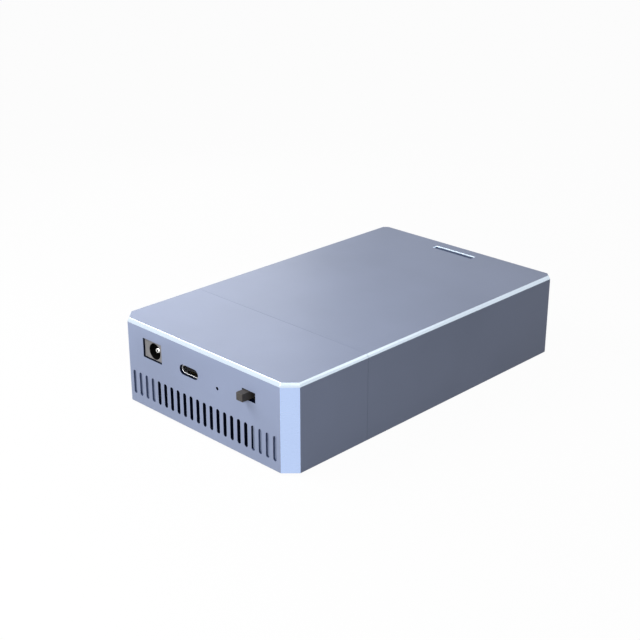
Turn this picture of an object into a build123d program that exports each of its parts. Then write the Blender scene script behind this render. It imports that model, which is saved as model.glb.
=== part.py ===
from build123d import *
import os

# Bus-bridged enclosure for one 2.5-inch drive: a fixed port housing, a base tray and a cover
# that slides off rearwards. Millimetres, X to the right seen from the ports, Y towards the
# rear, Z up. The origin is the centre of the footprint, on the surface the feet stand on.

os.makedirs("parts", exist_ok=True)

# The drive that the bay takes, and the room round it
drive_width = 69.85
drive_length = 100.45
drive_height = 15.0
drive_hole_from_side = 4.065
drive_hole_from_plug = 14.0
drive_hole_from_end = 9.85
drive_plug_height = 3.5
drive_plug_offset = 4.8
bay_side_gap = 3.075
bay_front_gap = 1.3
bay_rear_gap = 1.25
bay_top_gap = 3.8

# Housing walls and rim
wall = 2.0
top_wall = 2.0
front_corner_chamfer = 4.5
rear_corner_chamfer = 2.0
rim_bevel_height = 1.4
rim_bevel_inset = 0.75
seam_gap = 0.12
lip_thickness = 1.2
lip_reach = 2.5
lip_root = 3.0
lip_clearance = 0.2
lip_leg_gap = 0.8

# Ventilation slots of the front panel and of the rear wall
vent_count = 22
open_vent_count = 14
vent_width = 1.6
vent_height = 9.0
vent_bottom = 3.5
vent_end_margin = 2.17
vent_depth = 0.8
vent_end_cut = 0.48
vent_pocket_margin = 0.9
rear_vent_count = 3
rear_vent_pitch = 3.6

# Thumb recess near the rear edge of the cover
grip_width = 19.8
grip_length = 3.0
grip_depth = 0.8
grip_from_rear = 5.2
grip_slope = 18.0
grip_corner = 0.6
grip_offset = -0.4

# Base tray, its flanges and the tongues that guide the cover
floor_thickness = 2.0
tray_clearance = 0.2
flange_thickness = 1.5
flange_height = 11.0
tongue_proud = 1.2
tongue_thickness = 1.6
tongue_height = 4.7
slide_clearance = 0.3
guide_thickness = 1.2
guide_setback = 1.0
flange_end_gap = 1.0
drive_boss_height = 9.0
drive_boss_width = 9.0
drive_screw_radius = 1.7
drive_head_radius = 3.1
drive_head_seat = 3.5

# Feet
foot_length = 14.0
foot_width = 7.0
foot_corner = 1.5
foot_thickness = 1.6
foot_recess = 0.6
foot_recess_clearance = 0.1
foot_edge = 0.4
foot_from_side = 8.0
foot_from_rear = 24.0

# Screws between tray and front shell
pillar_width = 5.2
pillar_inset = 3.2
pillar_from_panel = 5.0
pillar_from_seam = 5.5
tray_screw_radius = 1.25
tray_screw_length = 11.0
tray_screw_head_radius = 2.5
tray_screw_clearance = 0.35
tray_pilot_clearance = 0.05
screw_sink = 0.1
hexagon_sides = 6

# Leaf springs between flange and cover
leaf_length = 24.0
leaf_height = 3.0
leaf_thickness = 0.25
leaf_from_seam = 38.0
leaf_end = 3.0
leaf_drop = 2.4
leaf_gap = 0.3

# Board, its standoffs and its screws
board_depth = 33.0
board_side_gap = 6.2
board_thickness = 1.6
board_front_gap = 0.5
board_rear_gap = 0.5
board_corner = 1.0
receptacle_drop = 3.7
standoff_flats = 4.0
standoff_bore_radius = 0.8
standoff_bore_depth = 6.0
board_hole_radius = 1.1
board_screw_from_side = 2.4
board_screw_from_edge = 3.6
board_screw_from_rear = 4.0
board_screw_head_radius = 1.9
board_screw_head_height = 1.3
board_screw_length = 5.0
tab_clearance = 0.15
tab_below = 0.7

# Power inlet
jack_from_side = 9.65
jack_width = 9.4
jack_height = 6.6
jack_length = 13.5
jack_nose = 1.45
jack_opening_clearance = 0.3
jack_axis_height = 3.2
jack_bore_offset = 0.75
jack_bore_radius = 2.85
jack_bore_depth = 9.5
jack_bore_lead = 0.15
jack_step_height = 5.4
jack_step_length = 3.0
jack_pin_radius = 1.05
jack_pin_setback = 1.0
jack_pin_tip = 0.3
jack_pin_slit_radius = 0.4
jack_pin_slit_depth = 2.0
jack_leaf_thickness = 0.35
jack_leaf_proud = 0.15
jack_leaf_width = 2.0
jack_leaf_start = 2.0
jack_leaf_length = 7.0
jack_tail_width = 2.0
jack_tail_thickness = 0.3

# Data port
usb_x = -5.75
usb_width = 8.94
usb_height = 3.16
usb_length = 7.35
usb_wall = 0.3
usb_nose = 1.3
usb_opening_clearance = 0.28
usb_back_thickness = 1.6
usb_tongue_width = 6.69
usb_tongue_thickness = 0.7
usb_tongue_setback = 0.9
usb_tongue_corner = 0.5
usb_tab_length = 1.0
usb_tab_from_front = 2.2
usb_tab_pitch = 3.6
usb_contact_count = 12
usb_contact_pitch = 0.5
usb_contact_width = 0.25
usb_contact_thickness = 0.04
usb_contact_length = 3.6
usb_tail_length = 0.9
usb_tail_thickness = 0.2

# Power switch
switch_from_side = 10.8
knob_width = 3.0
knob_height = 2.8
knob_proud = 3.0
knob_edge = 0.25
switch_travel = 2.5
slot_clearance = 0.4
switch_panel_gap = 0.2
switch_frame_width = 10.6
switch_frame_height = 5.9
switch_frame_depth = 4.2
switch_frame_wall = 0.4
switch_window_clearance = 0.25
switch_base_thickness = 2.0
switch_cheek = 0.65
switch_flange_thickness = 1.4
switch_flange_width = 5.6
switch_flange_height = 4.4
switch_flange_gap = 0.1
switch_terminal_count = 3
switch_terminal_pitch = 2.5
switch_terminal_width = 0.6
switch_terminal_thickness = 0.3
switch_terminal_proud = 0.1
switch_wiper_thickness = 0.2
switch_wiper_width = 3.6
switch_wiper_foot = 0.7
switch_wiper_gap = 0.05
switch_tab_length = 1.2

# Indicator
led_x = 8.7
led_hole_radius = 0.6
led_width = 2.8
led_height = 0.6
led_depth = 1.0
led_lens_width = 1.6
led_lens_proud = 0.3

# Electronics on the board: the second number of a place is its distance from the front edge,
# the first one X from the centre, or for left and right places from that side of the board
chip_size = 12.0
chip_height = 1.0
chip_place = (4.5, 17.5)
tape_size = 14.0
tape_thickness = 0.3
sink_size = 15.0
sink_base = 1.2
sink_height = 4.8
fin_count = 7
fin_thickness = 0.9
flash_length = 5.2
flash_width = 4.0
flash_height = 1.5
flash_pin_count = 4
flash_pin_pitch = 1.27
flash_pin_width = 0.4
flash_pin_length = 0.9
flash_pin_height = 0.6
flash_place = (-9.0, 14.0)
crystal_length = 3.2
crystal_width = 2.5
crystal_height = 0.8
crystal_corner = 0.4
crystal_place = (-9.0, 19.6)
regulator_size = 3.5
regulator_height = 0.9
regulator_left_places = ((8.3, 25.0), (16.3, 25.0))
inductor_size = 6.4
inductor_height = 3.0
inductor_corner = 1.1
inductor_left_places = ((8.3, 18.6), (16.3, 18.6))
capacitor_radius = 3.15
capacitor_base_size = 6.6
capacitor_base_height = 1.0
capacitor_base_corner = 1.2
capacitor_height = 5.8
capacitor_right_places = ((-15.3, 14.5), (-7.3, 14.5), (-15.3, 22.5))
ceramic_length = 2.0
ceramic_width = 1.25
ceramic_height = 0.9
ceramic_row_count = 5
ceramic_pitch = 3.4
ceramic_row = (-13.0, 9.5)
ceramic_left_row = (7.3, 29.0)
ceramic_right_row = (-19.8, 9.0)
resistor_length = 1.0
resistor_width = 0.6
resistor_height = 0.4
resistor_row_count = 6
resistor_pitch = 1.6
resistor_row = (-4.0, 28.5)
resistor_left_row = (23.3, 24.0)
resistor_right_row = (-20.3, 28.5)

# Drive receptacle below the board
receptacle_body_depth = 9.0
receptacle_below = 2.9
receptacle_nose_width = 41.4
receptacle_shoulder = 1.0
receptacle_nose_height = 5.2
receptacle_nose_reach = 4.4
receptacle_cheek = 1.4
receptacle_slot_height = 1.9
receptacle_slot_depth = 5.6
receptacle_key_width = 1.4
receptacle_key_height = 3.4
receptacle_edge = 0.5
receptacle_from_rear = 0.4
drive_contact_count = 17
drive_contact_pitch = 2.1
drive_contact_width = 0.7
drive_contact_thickness = 0.25
drive_contact_setback = 0.6
drive_tail_step = 1.1

# Heights
foot_proud = foot_thickness - foot_recess
base_z = foot_proud
floor_z = base_z + floor_thickness
drive_z = floor_z + drive_boss_height
ceiling_z = drive_z + drive_height + bay_top_gap
top_z = ceiling_z + top_wall
plug_z = drive_z + drive_plug_height
board_under_z = plug_z + receptacle_drop
board_z = board_under_z + board_thickness
flange_top_z = floor_z + flange_height
tongue_z = base_z + tongue_height
guide_low_z = tongue_z - slide_clearance - guide_thickness
guide_high_z = tongue_z + tongue_thickness + slide_clearance

# Widths from the centre plane
flange_inner_x = drive_width / 2 + bay_side_gap
flange_outer_x = flange_inner_x + flange_thickness
tongue_x = flange_outer_x + tongue_proud
inner_x = tongue_x + slide_clearance
half_width = inner_x + wall
board_width = 2 * (inner_x - board_side_gap)
left_x = -board_width / 2
right_x = board_width / 2
jack_x = left_x + jack_from_side
jack_axis_x = jack_x + jack_bore_offset
switch_x = right_x - switch_from_side
knob_x = switch_x - switch_travel / 2

# Lengths, from the ports to the rear wall
head_length = wall + board_front_gap + board_depth + board_rear_gap
bay_length = bay_front_gap + drive_length + bay_rear_gap
body_length = head_length + bay_length + wall
front_y = knob_proud - (body_length + knob_proud) / 2
panel_y = front_y + wall
board_front_y = panel_y + board_front_gap
board_rear_y = board_front_y + board_depth
seam_y = front_y + head_length
drive_front_y = seam_y + bay_front_gap
rear_y = front_y + body_length
rear_inner_y = rear_y - wall
drive_hole_spacing_x = drive_width - 2 * drive_hole_from_side
drive_hole_spacing_y = drive_length - drive_hole_from_plug - drive_hole_from_end
drive_holes_y = drive_front_y + drive_hole_from_plug + drive_hole_spacing_y / 2

# Places that several pieces share
pillar_x = inner_x - pillar_inset
pillar_places = [
    (side * pillar_x, y)
    for side in (-1, 1)
    for y in (panel_y + pillar_from_panel, seam_y - pillar_from_seam)
]
front_foot_y = (panel_y + pillar_from_panel + seam_y - pillar_from_seam) / 2
foot_places = [
    (side * (half_width - foot_from_side), y)
    for side in (-1, 1)
    for y in (front_foot_y, rear_y - foot_from_rear)
]
board_screw_places = [
    (side * (board_width / 2 - board_screw_from_side), y)
    for side in (-1, 1)
    for y in (board_front_y + board_screw_from_edge, board_rear_y - board_screw_from_rear)
]
vent_row = 2 * (half_width - front_corner_chamfer - vent_end_margin) - vent_width / 2
vent_pitch = vent_row / (vent_count - 1)
vent_z = base_z + vent_bottom + vent_height / 2
open_row_width = vent_pitch * (open_vent_count - 1) + vent_width
jack_axis_z = board_z + jack_axis_height
jack_face_y = panel_y - jack_nose
usb_z = board_z + usb_height / 2
usb_face_y = panel_y - usb_nose
switch_z = board_z + switch_frame_height / 2
switch_face_y = panel_y + switch_panel_gap
switch_plate_y = switch_face_y + switch_frame_wall
switch_base_y = switch_face_y + switch_frame_depth - switch_base_thickness + switch_frame_wall
led_z = board_z + led_height / 2
pin_end_y = jack_face_y + jack_length
usb_tab_y = usb_face_y + usb_tab_from_front


def facing(y):
    """Plane seen from the ports: X right, Z up, its normal towards the front."""
    return Plane(origin=(0, y, 0), x_dir=(1, 0, 0), z_dir=(0, -1, 0))


def on_board(place, height=0.0, from_x=0.0):
    """Point on the top of the board from a place counted from an X and the front edge."""
    return (from_x + place[0], board_front_y + place[1], board_z + height)


def on_board_rows(row, left_row, right_row, count, pitch):
    """Points of a level row in the middle of the board and of one towards each side."""
    return [
        on_board((place[0] + index * pitch, place[1]), from_x=from_x)
        for place, from_x in ((row, 0.0), (left_row, left_x), (right_row, right_x))
        for index in range(count)
    ]


def spread(count, pitch):
    """Places of a centred row."""
    return [(index - (count - 1) / 2) * pitch for index in range(count)]


def housing_plan(inset):
    """Plan outline of the whole housing, moved inwards on every side."""
    front_cut = front_corner_chamfer
    rear_cut = rear_corner_chamfer
    with BuildSketch() as plan:
        with BuildLine():
            Polyline(
                (-half_width + front_cut, front_y),
                (half_width - front_cut, front_y),
                (half_width, front_y + front_cut),
                (half_width, rear_y - rear_cut),
                (half_width - rear_cut, rear_y),
                (-half_width + rear_cut, rear_y),
                (-half_width, rear_y - rear_cut),
                (-half_width, front_y + front_cut),
                close=True,
            )
        make_face()
        if inset:
            offset(amount=-inset, kind=Kind.INTERSECTION)
    return plan.sketch


def foot_plan(grown):
    """Outline of one foot with cut corners, grown for its recess."""
    with BuildSketch() as pad:
        Rectangle(foot_width + 2 * grown, foot_length + 2 * grown)
        chamfer(pad.vertices(), length=foot_corner)
    return pad.sketch


def housing_blank():
    """Bevelled housing block over its whole length, hollow and open below."""
    with BuildPart() as blank:
        with BuildSketch(Plane.XY.offset(base_z)):
            add(housing_plan(0))
        extrude(amount=top_z - base_z)
        top = blank.faces().sort_by(Axis.Z)[-1]
        chamfer(top.edges(), length=rim_bevel_inset, length2=rim_bevel_height, reference=top)
        with BuildSketch(Plane.XY.offset(base_z)):
            add(housing_plan(wall))
        extrude(amount=ceiling_z - base_z, mode=Mode.SUBTRACT)
    return blank.part


# Front shell: port panel, top and sides up to the seam
with BuildPart() as front_shell:
    add(housing_blank())
    split(bisect_by=facing(seam_y - seam_gap / 2), keep=Keep.TOP)
    # Screw pillars from the ceiling down to the tray
    with BuildSketch(Plane.XY.offset(floor_z)):
        for x, y in pillar_places:
            outward = 1 if x > 0 else -1
            pillar_reach = pillar_width / 2 + pillar_inset + wall / 2
            with Locations((x + outward * (pillar_reach - pillar_width) / 2, y)):
                Rectangle(pillar_reach, pillar_width)
    extrude(amount=ceiling_z - floor_z)
    with BuildSketch(Plane.XY.offset(floor_z)):
        with Locations(*pillar_places):
            Circle(tray_screw_radius + tray_pilot_clearance)
    extrude(amount=tray_screw_length, mode=Mode.SUBTRACT)
    # Lip that reaches under the cover, with its thicker root inside the shell
    lip_x = inner_x - lip_clearance
    lip_low_z = flange_top_z + lip_leg_gap
    with BuildSketch(facing(seam_y - lip_root)):
        with Locations((0, lip_low_z)):
            Rectangle(2 * inner_x, ceiling_z - lip_low_z, align=(Align.CENTER, Align.MIN))
            Rectangle(
                2 * (lip_x - lip_thickness),
                ceiling_z - lip_clearance - lip_thickness - lip_low_z,
                align=(Align.CENTER, Align.MIN),
                mode=Mode.SUBTRACT,
            )
    extrude(amount=-(lip_root - seam_gap / 2))
    with BuildSketch(facing(seam_y - seam_gap)):
        with Locations((0, lip_low_z)):
            Rectangle(
                2 * lip_x, ceiling_z - lip_clearance - lip_low_z, align=(Align.CENTER, Align.MIN)
            )
            Rectangle(
                2 * (lip_x - lip_thickness),
                ceiling_z - lip_clearance - lip_thickness - lip_low_z,
                align=(Align.CENTER, Align.MIN),
                mode=Mode.SUBTRACT,
            )
    extrude(amount=-(lip_reach + seam_gap))
    # Slots of one depth: a pocket behind the middle ones opens them, the end ones stay blind
    with BuildSketch(facing(front_y + vent_depth)):
        with Locations((0, vent_z)):
            Rectangle(
                open_row_width + 2 * vent_pocket_margin, vent_height + 2 * vent_pocket_margin
            )
    extrude(amount=-(wall - vent_depth), mode=Mode.SUBTRACT)
    with BuildSketch(facing(front_y)) as vents:
        with Locations(*[(x, vent_z) for x in spread(vent_count, vent_pitch)]):
            Rectangle(vent_width, vent_height)
        chamfer(vents.vertices(), length=vent_end_cut)
    extrude(amount=-vent_depth, mode=Mode.SUBTRACT)
    # Port, switch and indicator openings
    with BuildSketch(facing(front_y)):
        with Locations((jack_x, board_z + jack_height / 2)):
            Rectangle(
                jack_width + 2 * jack_opening_clearance, jack_height + 2 * jack_opening_clearance
            )
        with Locations((usb_x, usb_z)):
            SlotOverall(
                usb_width + 2 * usb_opening_clearance, usb_height + 2 * usb_opening_clearance
            )
        with Locations((switch_x, switch_z)):
            Rectangle(
                knob_width + switch_travel + 2 * slot_clearance, knob_height + 2 * slot_clearance
            )
        with Locations((led_x, led_z)):
            Circle(led_hole_radius)
    extrude(amount=-wall, mode=Mode.SUBTRACT)

front_shell.part.label = "front_shell"
export_step(front_shell.part, "parts/front_shell.step")

# Sliding cover: top, sides and rear wall behind the seam
with BuildPart() as sliding_cover:
    add(housing_blank())
    split(bisect_by=facing(seam_y + seam_gap / 2), keep=Keep.BOTTOM)
    # Guide ribs above and below each tongue of the tray
    with BuildSketch(facing(seam_y + guide_setback)):
        for side in (-1, 1):
            for low_z in (guide_low_z, guide_high_z):
                with Locations((side * (inner_x - tongue_proud / 2), low_z)):
                    Rectangle(tongue_proud, guide_thickness, align=(Align.CENTER, Align.MIN))
    extrude(amount=-(rear_inner_y - seam_y - guide_setback))
    # Level slots of the rear wall, as wide as the open row of the front
    with BuildSketch(facing(rear_inner_y)) as rear_vents:
        with Locations(*[(0, vent_z + z) for z in spread(rear_vent_count, rear_vent_pitch)]):
            Rectangle(open_row_width, vent_width)
        chamfer(rear_vents.vertices(), length=vent_end_cut)
    extrude(amount=-wall, mode=Mode.SUBTRACT)
    # Thumb recess with sloping walls
    grip_y = rear_y - grip_from_rear - grip_length / 2
    with BuildSketch(Plane.XY.offset(top_z)):
        with Locations((grip_offset, grip_y)):
            RectangleRounded(grip_width, grip_length, grip_corner)
    extrude(amount=-grip_depth, taper=grip_slope, mode=Mode.SUBTRACT)

sliding_cover.part.label = "sliding_cover"
export_step(sliding_cover.part, "parts/sliding_cover.step")

# Base tray: floor, side flanges with tongues, and the bosses that carry the drive
with BuildPart() as base_tray:
    with BuildSketch(Plane.XY.offset(base_z)):
        add(housing_plan(wall + tray_clearance))
    extrude(amount=floor_thickness)
    flange_length = rear_inner_y - flange_end_gap - seam_y - flange_end_gap
    with BuildSketch(facing(seam_y + flange_end_gap)):
        for side in (-1, 1):
            with Locations((side * (flange_inner_x + flange_thickness / 2), floor_z)):
                Rectangle(flange_thickness, flange_height, align=(Align.CENTER, Align.MIN))
            with Locations((side * (flange_outer_x + tongue_proud / 2), tongue_z)):
                Rectangle(tongue_proud, tongue_thickness, align=(Align.CENTER, Align.MIN))
    extrude(amount=-flange_length)
    # Drive bosses with screw holes and head counterbores from below
    with BuildSketch(Plane.XY.offset(floor_z)):
        with Locations((0, drive_holes_y)):
            with GridLocations(drive_hole_spacing_x, drive_hole_spacing_y, 2, 2):
                Rectangle(drive_boss_width, drive_boss_width)
    extrude(amount=drive_boss_height)
    with BuildSketch(Plane.XY.offset(base_z)):
        with Locations((0, drive_holes_y)):
            with GridLocations(drive_hole_spacing_x, drive_hole_spacing_y, 2, 2):
                Circle(drive_screw_radius)
    extrude(amount=floor_thickness + drive_boss_height, mode=Mode.SUBTRACT)
    with BuildSketch(Plane.XY.offset(base_z)):
        with Locations((0, drive_holes_y)):
            with GridLocations(drive_hole_spacing_x, drive_hole_spacing_y, 2, 2):
                Circle(drive_head_radius)
    extrude(amount=floor_thickness + drive_boss_height - drive_head_seat, mode=Mode.SUBTRACT)
    # Countersunk holes below the pillars of the front shell
    with Locations(Plane.XY.offset(base_z)):
        with Locations(*pillar_places):
            Cone(
                tray_screw_head_radius + screw_sink,
                tray_screw_radius,
                tray_screw_head_radius + screw_sink - tray_screw_radius,
                align=(Align.CENTER, Align.CENTER, Align.MIN),
                mode=Mode.SUBTRACT,
            )
    with BuildSketch(Plane.XY.offset(base_z)):
        with Locations(*pillar_places):
            Circle(tray_screw_radius + tray_screw_clearance)
        with Locations(*board_screw_places):
            RegularPolygon(standoff_flats / 2, hexagon_sides, major_radius=False)
    extrude(amount=floor_thickness, mode=Mode.SUBTRACT)
    # Recesses for the feet
    with BuildSketch(Plane.XY.offset(base_z)):
        with Locations(*foot_places):
            add(foot_plan(foot_recess_clearance))
    extrude(amount=foot_recess, mode=Mode.SUBTRACT)

base_tray.part.label = "base_tray"
export_step(base_tray.part, "parts/base_tray.step")

# Countersunk screws from the tray into the pillars
with BuildPart() as tray_screws:
    with Locations(Plane.XY.offset(base_z + screw_sink)):
        with Locations(*pillar_places):
            Cone(
                tray_screw_head_radius,
                tray_screw_radius,
                tray_screw_head_radius - tray_screw_radius,
                align=(Align.CENTER, Align.CENTER, Align.MIN),
            )
            Cylinder(
                tray_screw_radius,
                tray_screw_length,
                align=(Align.CENTER, Align.CENTER, Align.MIN),
            )

tray_screws.part.label = "tray_screws"
export_step(tray_screws.part, "parts/tray_screws.step")

# Feet
with BuildPart() as rubber_feet:
    with BuildSketch(Plane.XY):
        with Locations(*foot_places):
            add(foot_plan(0))
    extrude(amount=foot_thickness)
    chamfer(rubber_feet.faces().group_by(Axis.Z)[0].edges(), length=foot_edge)

rubber_feet.part.label = "rubber_feet"
export_step(rubber_feet.part, "parts/rubber_feet.step")

# Bowed leaf springs on the outside of the flanges
with BuildPart() as cover_springs:
    leaf_y = seam_y + leaf_from_seam
    leaf_bow = tongue_proud + slide_clearance - leaf_gap - leaf_thickness
    with BuildSketch(Plane.XY.offset(flange_top_z - leaf_drop - leaf_height / 2)):
        for side in (-1, 1):
            foot_face = side * flange_outer_x
            crown = side * (flange_outer_x + leaf_bow)
            with BuildLine():
                start = Line(
                    (foot_face, leaf_y),
                    (foot_face, leaf_y + leaf_end),
                )
                bow = ThreePointArc(
                    start @ 1,
                    (crown, leaf_y + leaf_length / 2),
                    (foot_face, leaf_y + leaf_length - leaf_end),
                )
                Line(bow @ 1, (foot_face, leaf_y + leaf_length))
                offset(amount=leaf_thickness, side=Side.LEFT if side < 0 else Side.RIGHT)
            make_face()
    extrude(amount=leaf_height)

cover_springs.part.label = "cover_springs"
export_step(cover_springs.part, "parts/cover_springs.step")

# Board with its screw holes and the slots for the tabs of what stands on it
usb_tab_places = [
    (usb_x + side * (usb_width - usb_wall) / 2, usb_tab_y + row * usb_tab_pitch)
    for side in (-1, 1)
    for row in (0, 1)
]
switch_tab_y = switch_face_y + switch_frame_depth / 2
switch_tab_places = [
    (switch_x + side * (switch_frame_width - switch_frame_wall) / 2, switch_tab_y)
    for side in (-1, 1)
]
switch_tail_y = switch_base_y + switch_base_thickness + switch_terminal_thickness / 2
switch_terminal_xs = [
    switch_x + x for x in spread(switch_terminal_count, switch_terminal_pitch)
]
switch_tail_places = [(x, switch_tail_y) for x in switch_terminal_xs]
jack_leaf_x = jack_axis_x - jack_bore_radius + jack_leaf_proud - jack_leaf_thickness / 2
jack_tail_y = jack_face_y + jack_leaf_start + jack_leaf_length - jack_tail_width / 2
jack_rear_tail_y = pin_end_y + jack_tail_thickness / 2

with BuildPart() as main_board:
    board_middle_y = (board_front_y + board_rear_y) / 2
    with BuildSketch(Plane.XY.offset(board_under_z)):
        with Locations((0, board_middle_y)):
            outline = Rectangle(board_width, board_depth)
        chamfer(outline.vertices(), length=board_corner)
        with Locations(*board_screw_places):
            Circle(board_hole_radius, mode=Mode.SUBTRACT)
        with Locations(*usb_tab_places):
            Rectangle(
                usb_wall + 2 * tab_clearance, usb_tab_length + 2 * tab_clearance, mode=Mode.SUBTRACT
            )
        with Locations(*switch_tab_places):
            Rectangle(
                switch_frame_wall + 2 * tab_clearance,
                switch_tab_length + 2 * tab_clearance,
                mode=Mode.SUBTRACT,
            )
        with Locations(*switch_tail_places):
            Rectangle(
                switch_terminal_width + 2 * tab_clearance,
                switch_terminal_thickness + 2 * tab_clearance,
                mode=Mode.SUBTRACT,
            )
        with Locations((jack_leaf_x, jack_tail_y)):
            Rectangle(
                jack_leaf_thickness + 2 * tab_clearance,
                jack_tail_width + 2 * tab_clearance,
                mode=Mode.SUBTRACT,
            )
        with Locations((jack_axis_x, jack_rear_tail_y)):
            Rectangle(
                jack_tail_width + 2 * tab_clearance,
                jack_tail_thickness + 2 * tab_clearance,
                mode=Mode.SUBTRACT,
            )
    extrude(amount=board_thickness)

main_board.part.label = "main_board"
export_step(main_board.part, "parts/main_board.step")

# Hexagonal standoffs pressed into the tray
with BuildPart() as board_standoffs:
    with BuildSketch(Plane.XY.offset(base_z)):
        with Locations(*board_screw_places):
            RegularPolygon(standoff_flats / 2, hexagon_sides, major_radius=False)
    extrude(amount=board_under_z - base_z)
    with BuildSketch(Plane.XY.offset(board_under_z)):
        with Locations(*board_screw_places):
            Circle(standoff_bore_radius + tray_pilot_clearance)
    extrude(amount=-standoff_bore_depth, mode=Mode.SUBTRACT)

board_standoffs.part.label = "board_standoffs"
export_step(board_standoffs.part, "parts/board_standoffs.step")

# Pan-head screws that hold the board
with BuildPart() as board_screws:
    with BuildSketch(Plane.XY.offset(board_z)):
        with Locations(*board_screw_places):
            Circle(board_screw_head_radius)
    extrude(amount=board_screw_head_height)
    with BuildSketch(Plane.XY.offset(board_z)):
        with Locations(*board_screw_places):
            Circle(standoff_bore_radius)
    extrude(amount=-board_screw_length)

board_screws.part.label = "board_screws"
export_step(board_screws.part, "parts/board_screws.step")

# Power inlet: moulded housing with its bore, a hollow pin and two bent contacts
jack_top_z = board_z + jack_height
leaf_low_z = jack_axis_z - jack_leaf_width / 2

with BuildPart() as dc_jack_contacts:
    # Spring leaf beside the bore, with a tail down through the board
    with BuildSketch(Plane.YZ.offset(jack_leaf_x - jack_leaf_thickness / 2)):
        with Locations((jack_face_y + jack_leaf_start, leaf_low_z)):
            Rectangle(jack_leaf_length, jack_leaf_width, align=(Align.MIN, Align.MIN))
        with Locations((jack_tail_y, board_under_z - tab_below)):
            Rectangle(
                jack_tail_width,
                leaf_low_z - board_under_z + tab_below,
                align=(Align.CENTER, Align.MIN),
            )
    extrude(amount=jack_leaf_thickness)
    # Blade behind the pin
    with BuildSketch(facing(pin_end_y)):
        with Locations((jack_axis_x, board_under_z - tab_below)):
            Rectangle(
                jack_tail_width,
                jack_axis_z + jack_pin_radius - board_under_z + tab_below,
                align=(Align.CENTER, Align.MIN),
            )
    extrude(amount=-jack_tail_thickness)

dc_jack_contacts.part.label = "dc_jack_contacts"
export_step(dc_jack_contacts.part, "parts/dc_jack_contacts.step")

with BuildPart() as dc_jack_housing:
    with BuildSketch(Plane.YZ.offset(jack_x - jack_width / 2)):
        with BuildLine():
            Polyline(
                (jack_face_y, board_z),
                (pin_end_y, board_z),
                (pin_end_y, board_z + jack_step_height),
                (pin_end_y - jack_step_length, board_z + jack_step_height),
                (pin_end_y - jack_step_length, jack_top_z),
                (jack_face_y, jack_top_z),
                close=True,
            )
        make_face()
    extrude(amount=jack_width)
    with BuildSketch(facing(jack_face_y)):
        with Locations((jack_axis_x, jack_axis_z)):
            Circle(jack_bore_radius)
    extrude(amount=-jack_bore_depth, mode=Mode.SUBTRACT)
    mouth = dc_jack_housing.faces().sort_by(Axis.Y)[0].edges().filter_by(GeomType.CIRCLE)
    chamfer(mouth, length=jack_bore_lead)
    with BuildSketch(facing(pin_end_y)):
        with Locations((jack_axis_x, jack_axis_z)):
            Circle(jack_pin_radius)
    extrude(amount=jack_length - jack_bore_depth, mode=Mode.SUBTRACT)
    add(dc_jack_contacts.part, mode=Mode.SUBTRACT)

dc_jack_housing.part.label = "dc_jack_housing"
export_step(dc_jack_housing.part, "parts/dc_jack_housing.step")

with BuildPart() as dc_jack_pin:
    with BuildSketch(facing(pin_end_y)):
        with Locations((jack_axis_x, jack_axis_z)):
            Circle(jack_pin_radius)
    extrude(amount=jack_length - jack_pin_setback)
    chamfer(dc_jack_pin.faces().sort_by(Axis.Y)[0].edges(), length=jack_pin_tip)
    with BuildSketch(facing(jack_face_y + jack_pin_setback)):
        with Locations((jack_axis_x, jack_axis_z)):
            Circle(jack_pin_slit_radius)
    extrude(amount=-jack_pin_slit_depth, mode=Mode.SUBTRACT)

dc_jack_pin.part.label = "dc_jack_pin"
export_step(dc_jack_pin.part, "parts/dc_jack_pin.step")

# Data port: drawn steel shell with board tabs, moulded tongue and its contacts
with BuildPart() as usb_c_shell:
    with BuildSketch(facing(usb_face_y)):
        with Locations((usb_x, usb_z)):
            SlotOverall(usb_width, usb_height)
            SlotOverall(usb_width - 2 * usb_wall, usb_height - 2 * usb_wall, mode=Mode.SUBTRACT)
    extrude(amount=-usb_length)
    with BuildSketch(Plane.XY.offset(board_under_z - tab_below)):
        with Locations(*usb_tab_places):
            Rectangle(usb_wall, usb_tab_length)
    extrude(amount=usb_z - board_under_z + tab_below)

usb_c_shell.part.label = "usb_c_shell"
export_step(usb_c_shell.part, "parts/usb_c_shell.step")

usb_back_y = usb_face_y + usb_length
usb_block_y = usb_back_y - usb_back_thickness
usb_tongue_y = usb_face_y + usb_tongue_setback

with BuildPart() as usb_c_tongue:
    with BuildSketch(facing(usb_block_y)):
        with Locations((usb_x, usb_z)):
            SlotOverall(usb_width - 2 * usb_wall, usb_height - 2 * usb_wall)
    extrude(amount=-usb_back_thickness)
    with BuildSketch(Plane.XY.offset(usb_z - usb_tongue_thickness / 2)):
        with Locations((usb_x, usb_tongue_y)):
            Rectangle(
                usb_tongue_width, usb_block_y - usb_tongue_y, align=(Align.CENTER, Align.MIN)
            )
    extrude(amount=usb_tongue_thickness)
    tip_edges = usb_c_tongue.edges().filter_by(Axis.Z).group_by(Axis.Y)[0]
    fillet(tip_edges, radius=usb_tongue_corner)

usb_c_tongue.part.label = "usb_c_tongue"
export_step(usb_c_tongue.part, "parts/usb_c_tongue.step")

with BuildPart() as usb_c_contacts:
    contact_xs = [usb_x + x for x in spread(usb_contact_count, usb_contact_pitch)]
    for face_z, direction in (
        (usb_z + usb_tongue_thickness / 2, 1),
        (usb_z - usb_tongue_thickness / 2, -1),
    ):
        with BuildSketch(Plane.XY.offset(face_z)):
            with Locations(*[(x, usb_block_y) for x in contact_xs]):
                Rectangle(
                    usb_contact_width, usb_contact_length, align=(Align.CENTER, Align.MAX)
                )
        extrude(amount=direction * usb_contact_thickness)
    with BuildSketch(Plane.XY.offset(board_z)):
        with Locations(*[(x, usb_back_y) for x in contact_xs]):
            Rectangle(usb_contact_width, usb_tail_length, align=(Align.CENTER, Align.MIN))
    extrude(amount=usb_tail_thickness)

usb_c_contacts.part.label = "usb_c_contacts"
export_step(usb_c_contacts.part, "parts/usb_c_contacts.step")

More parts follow.
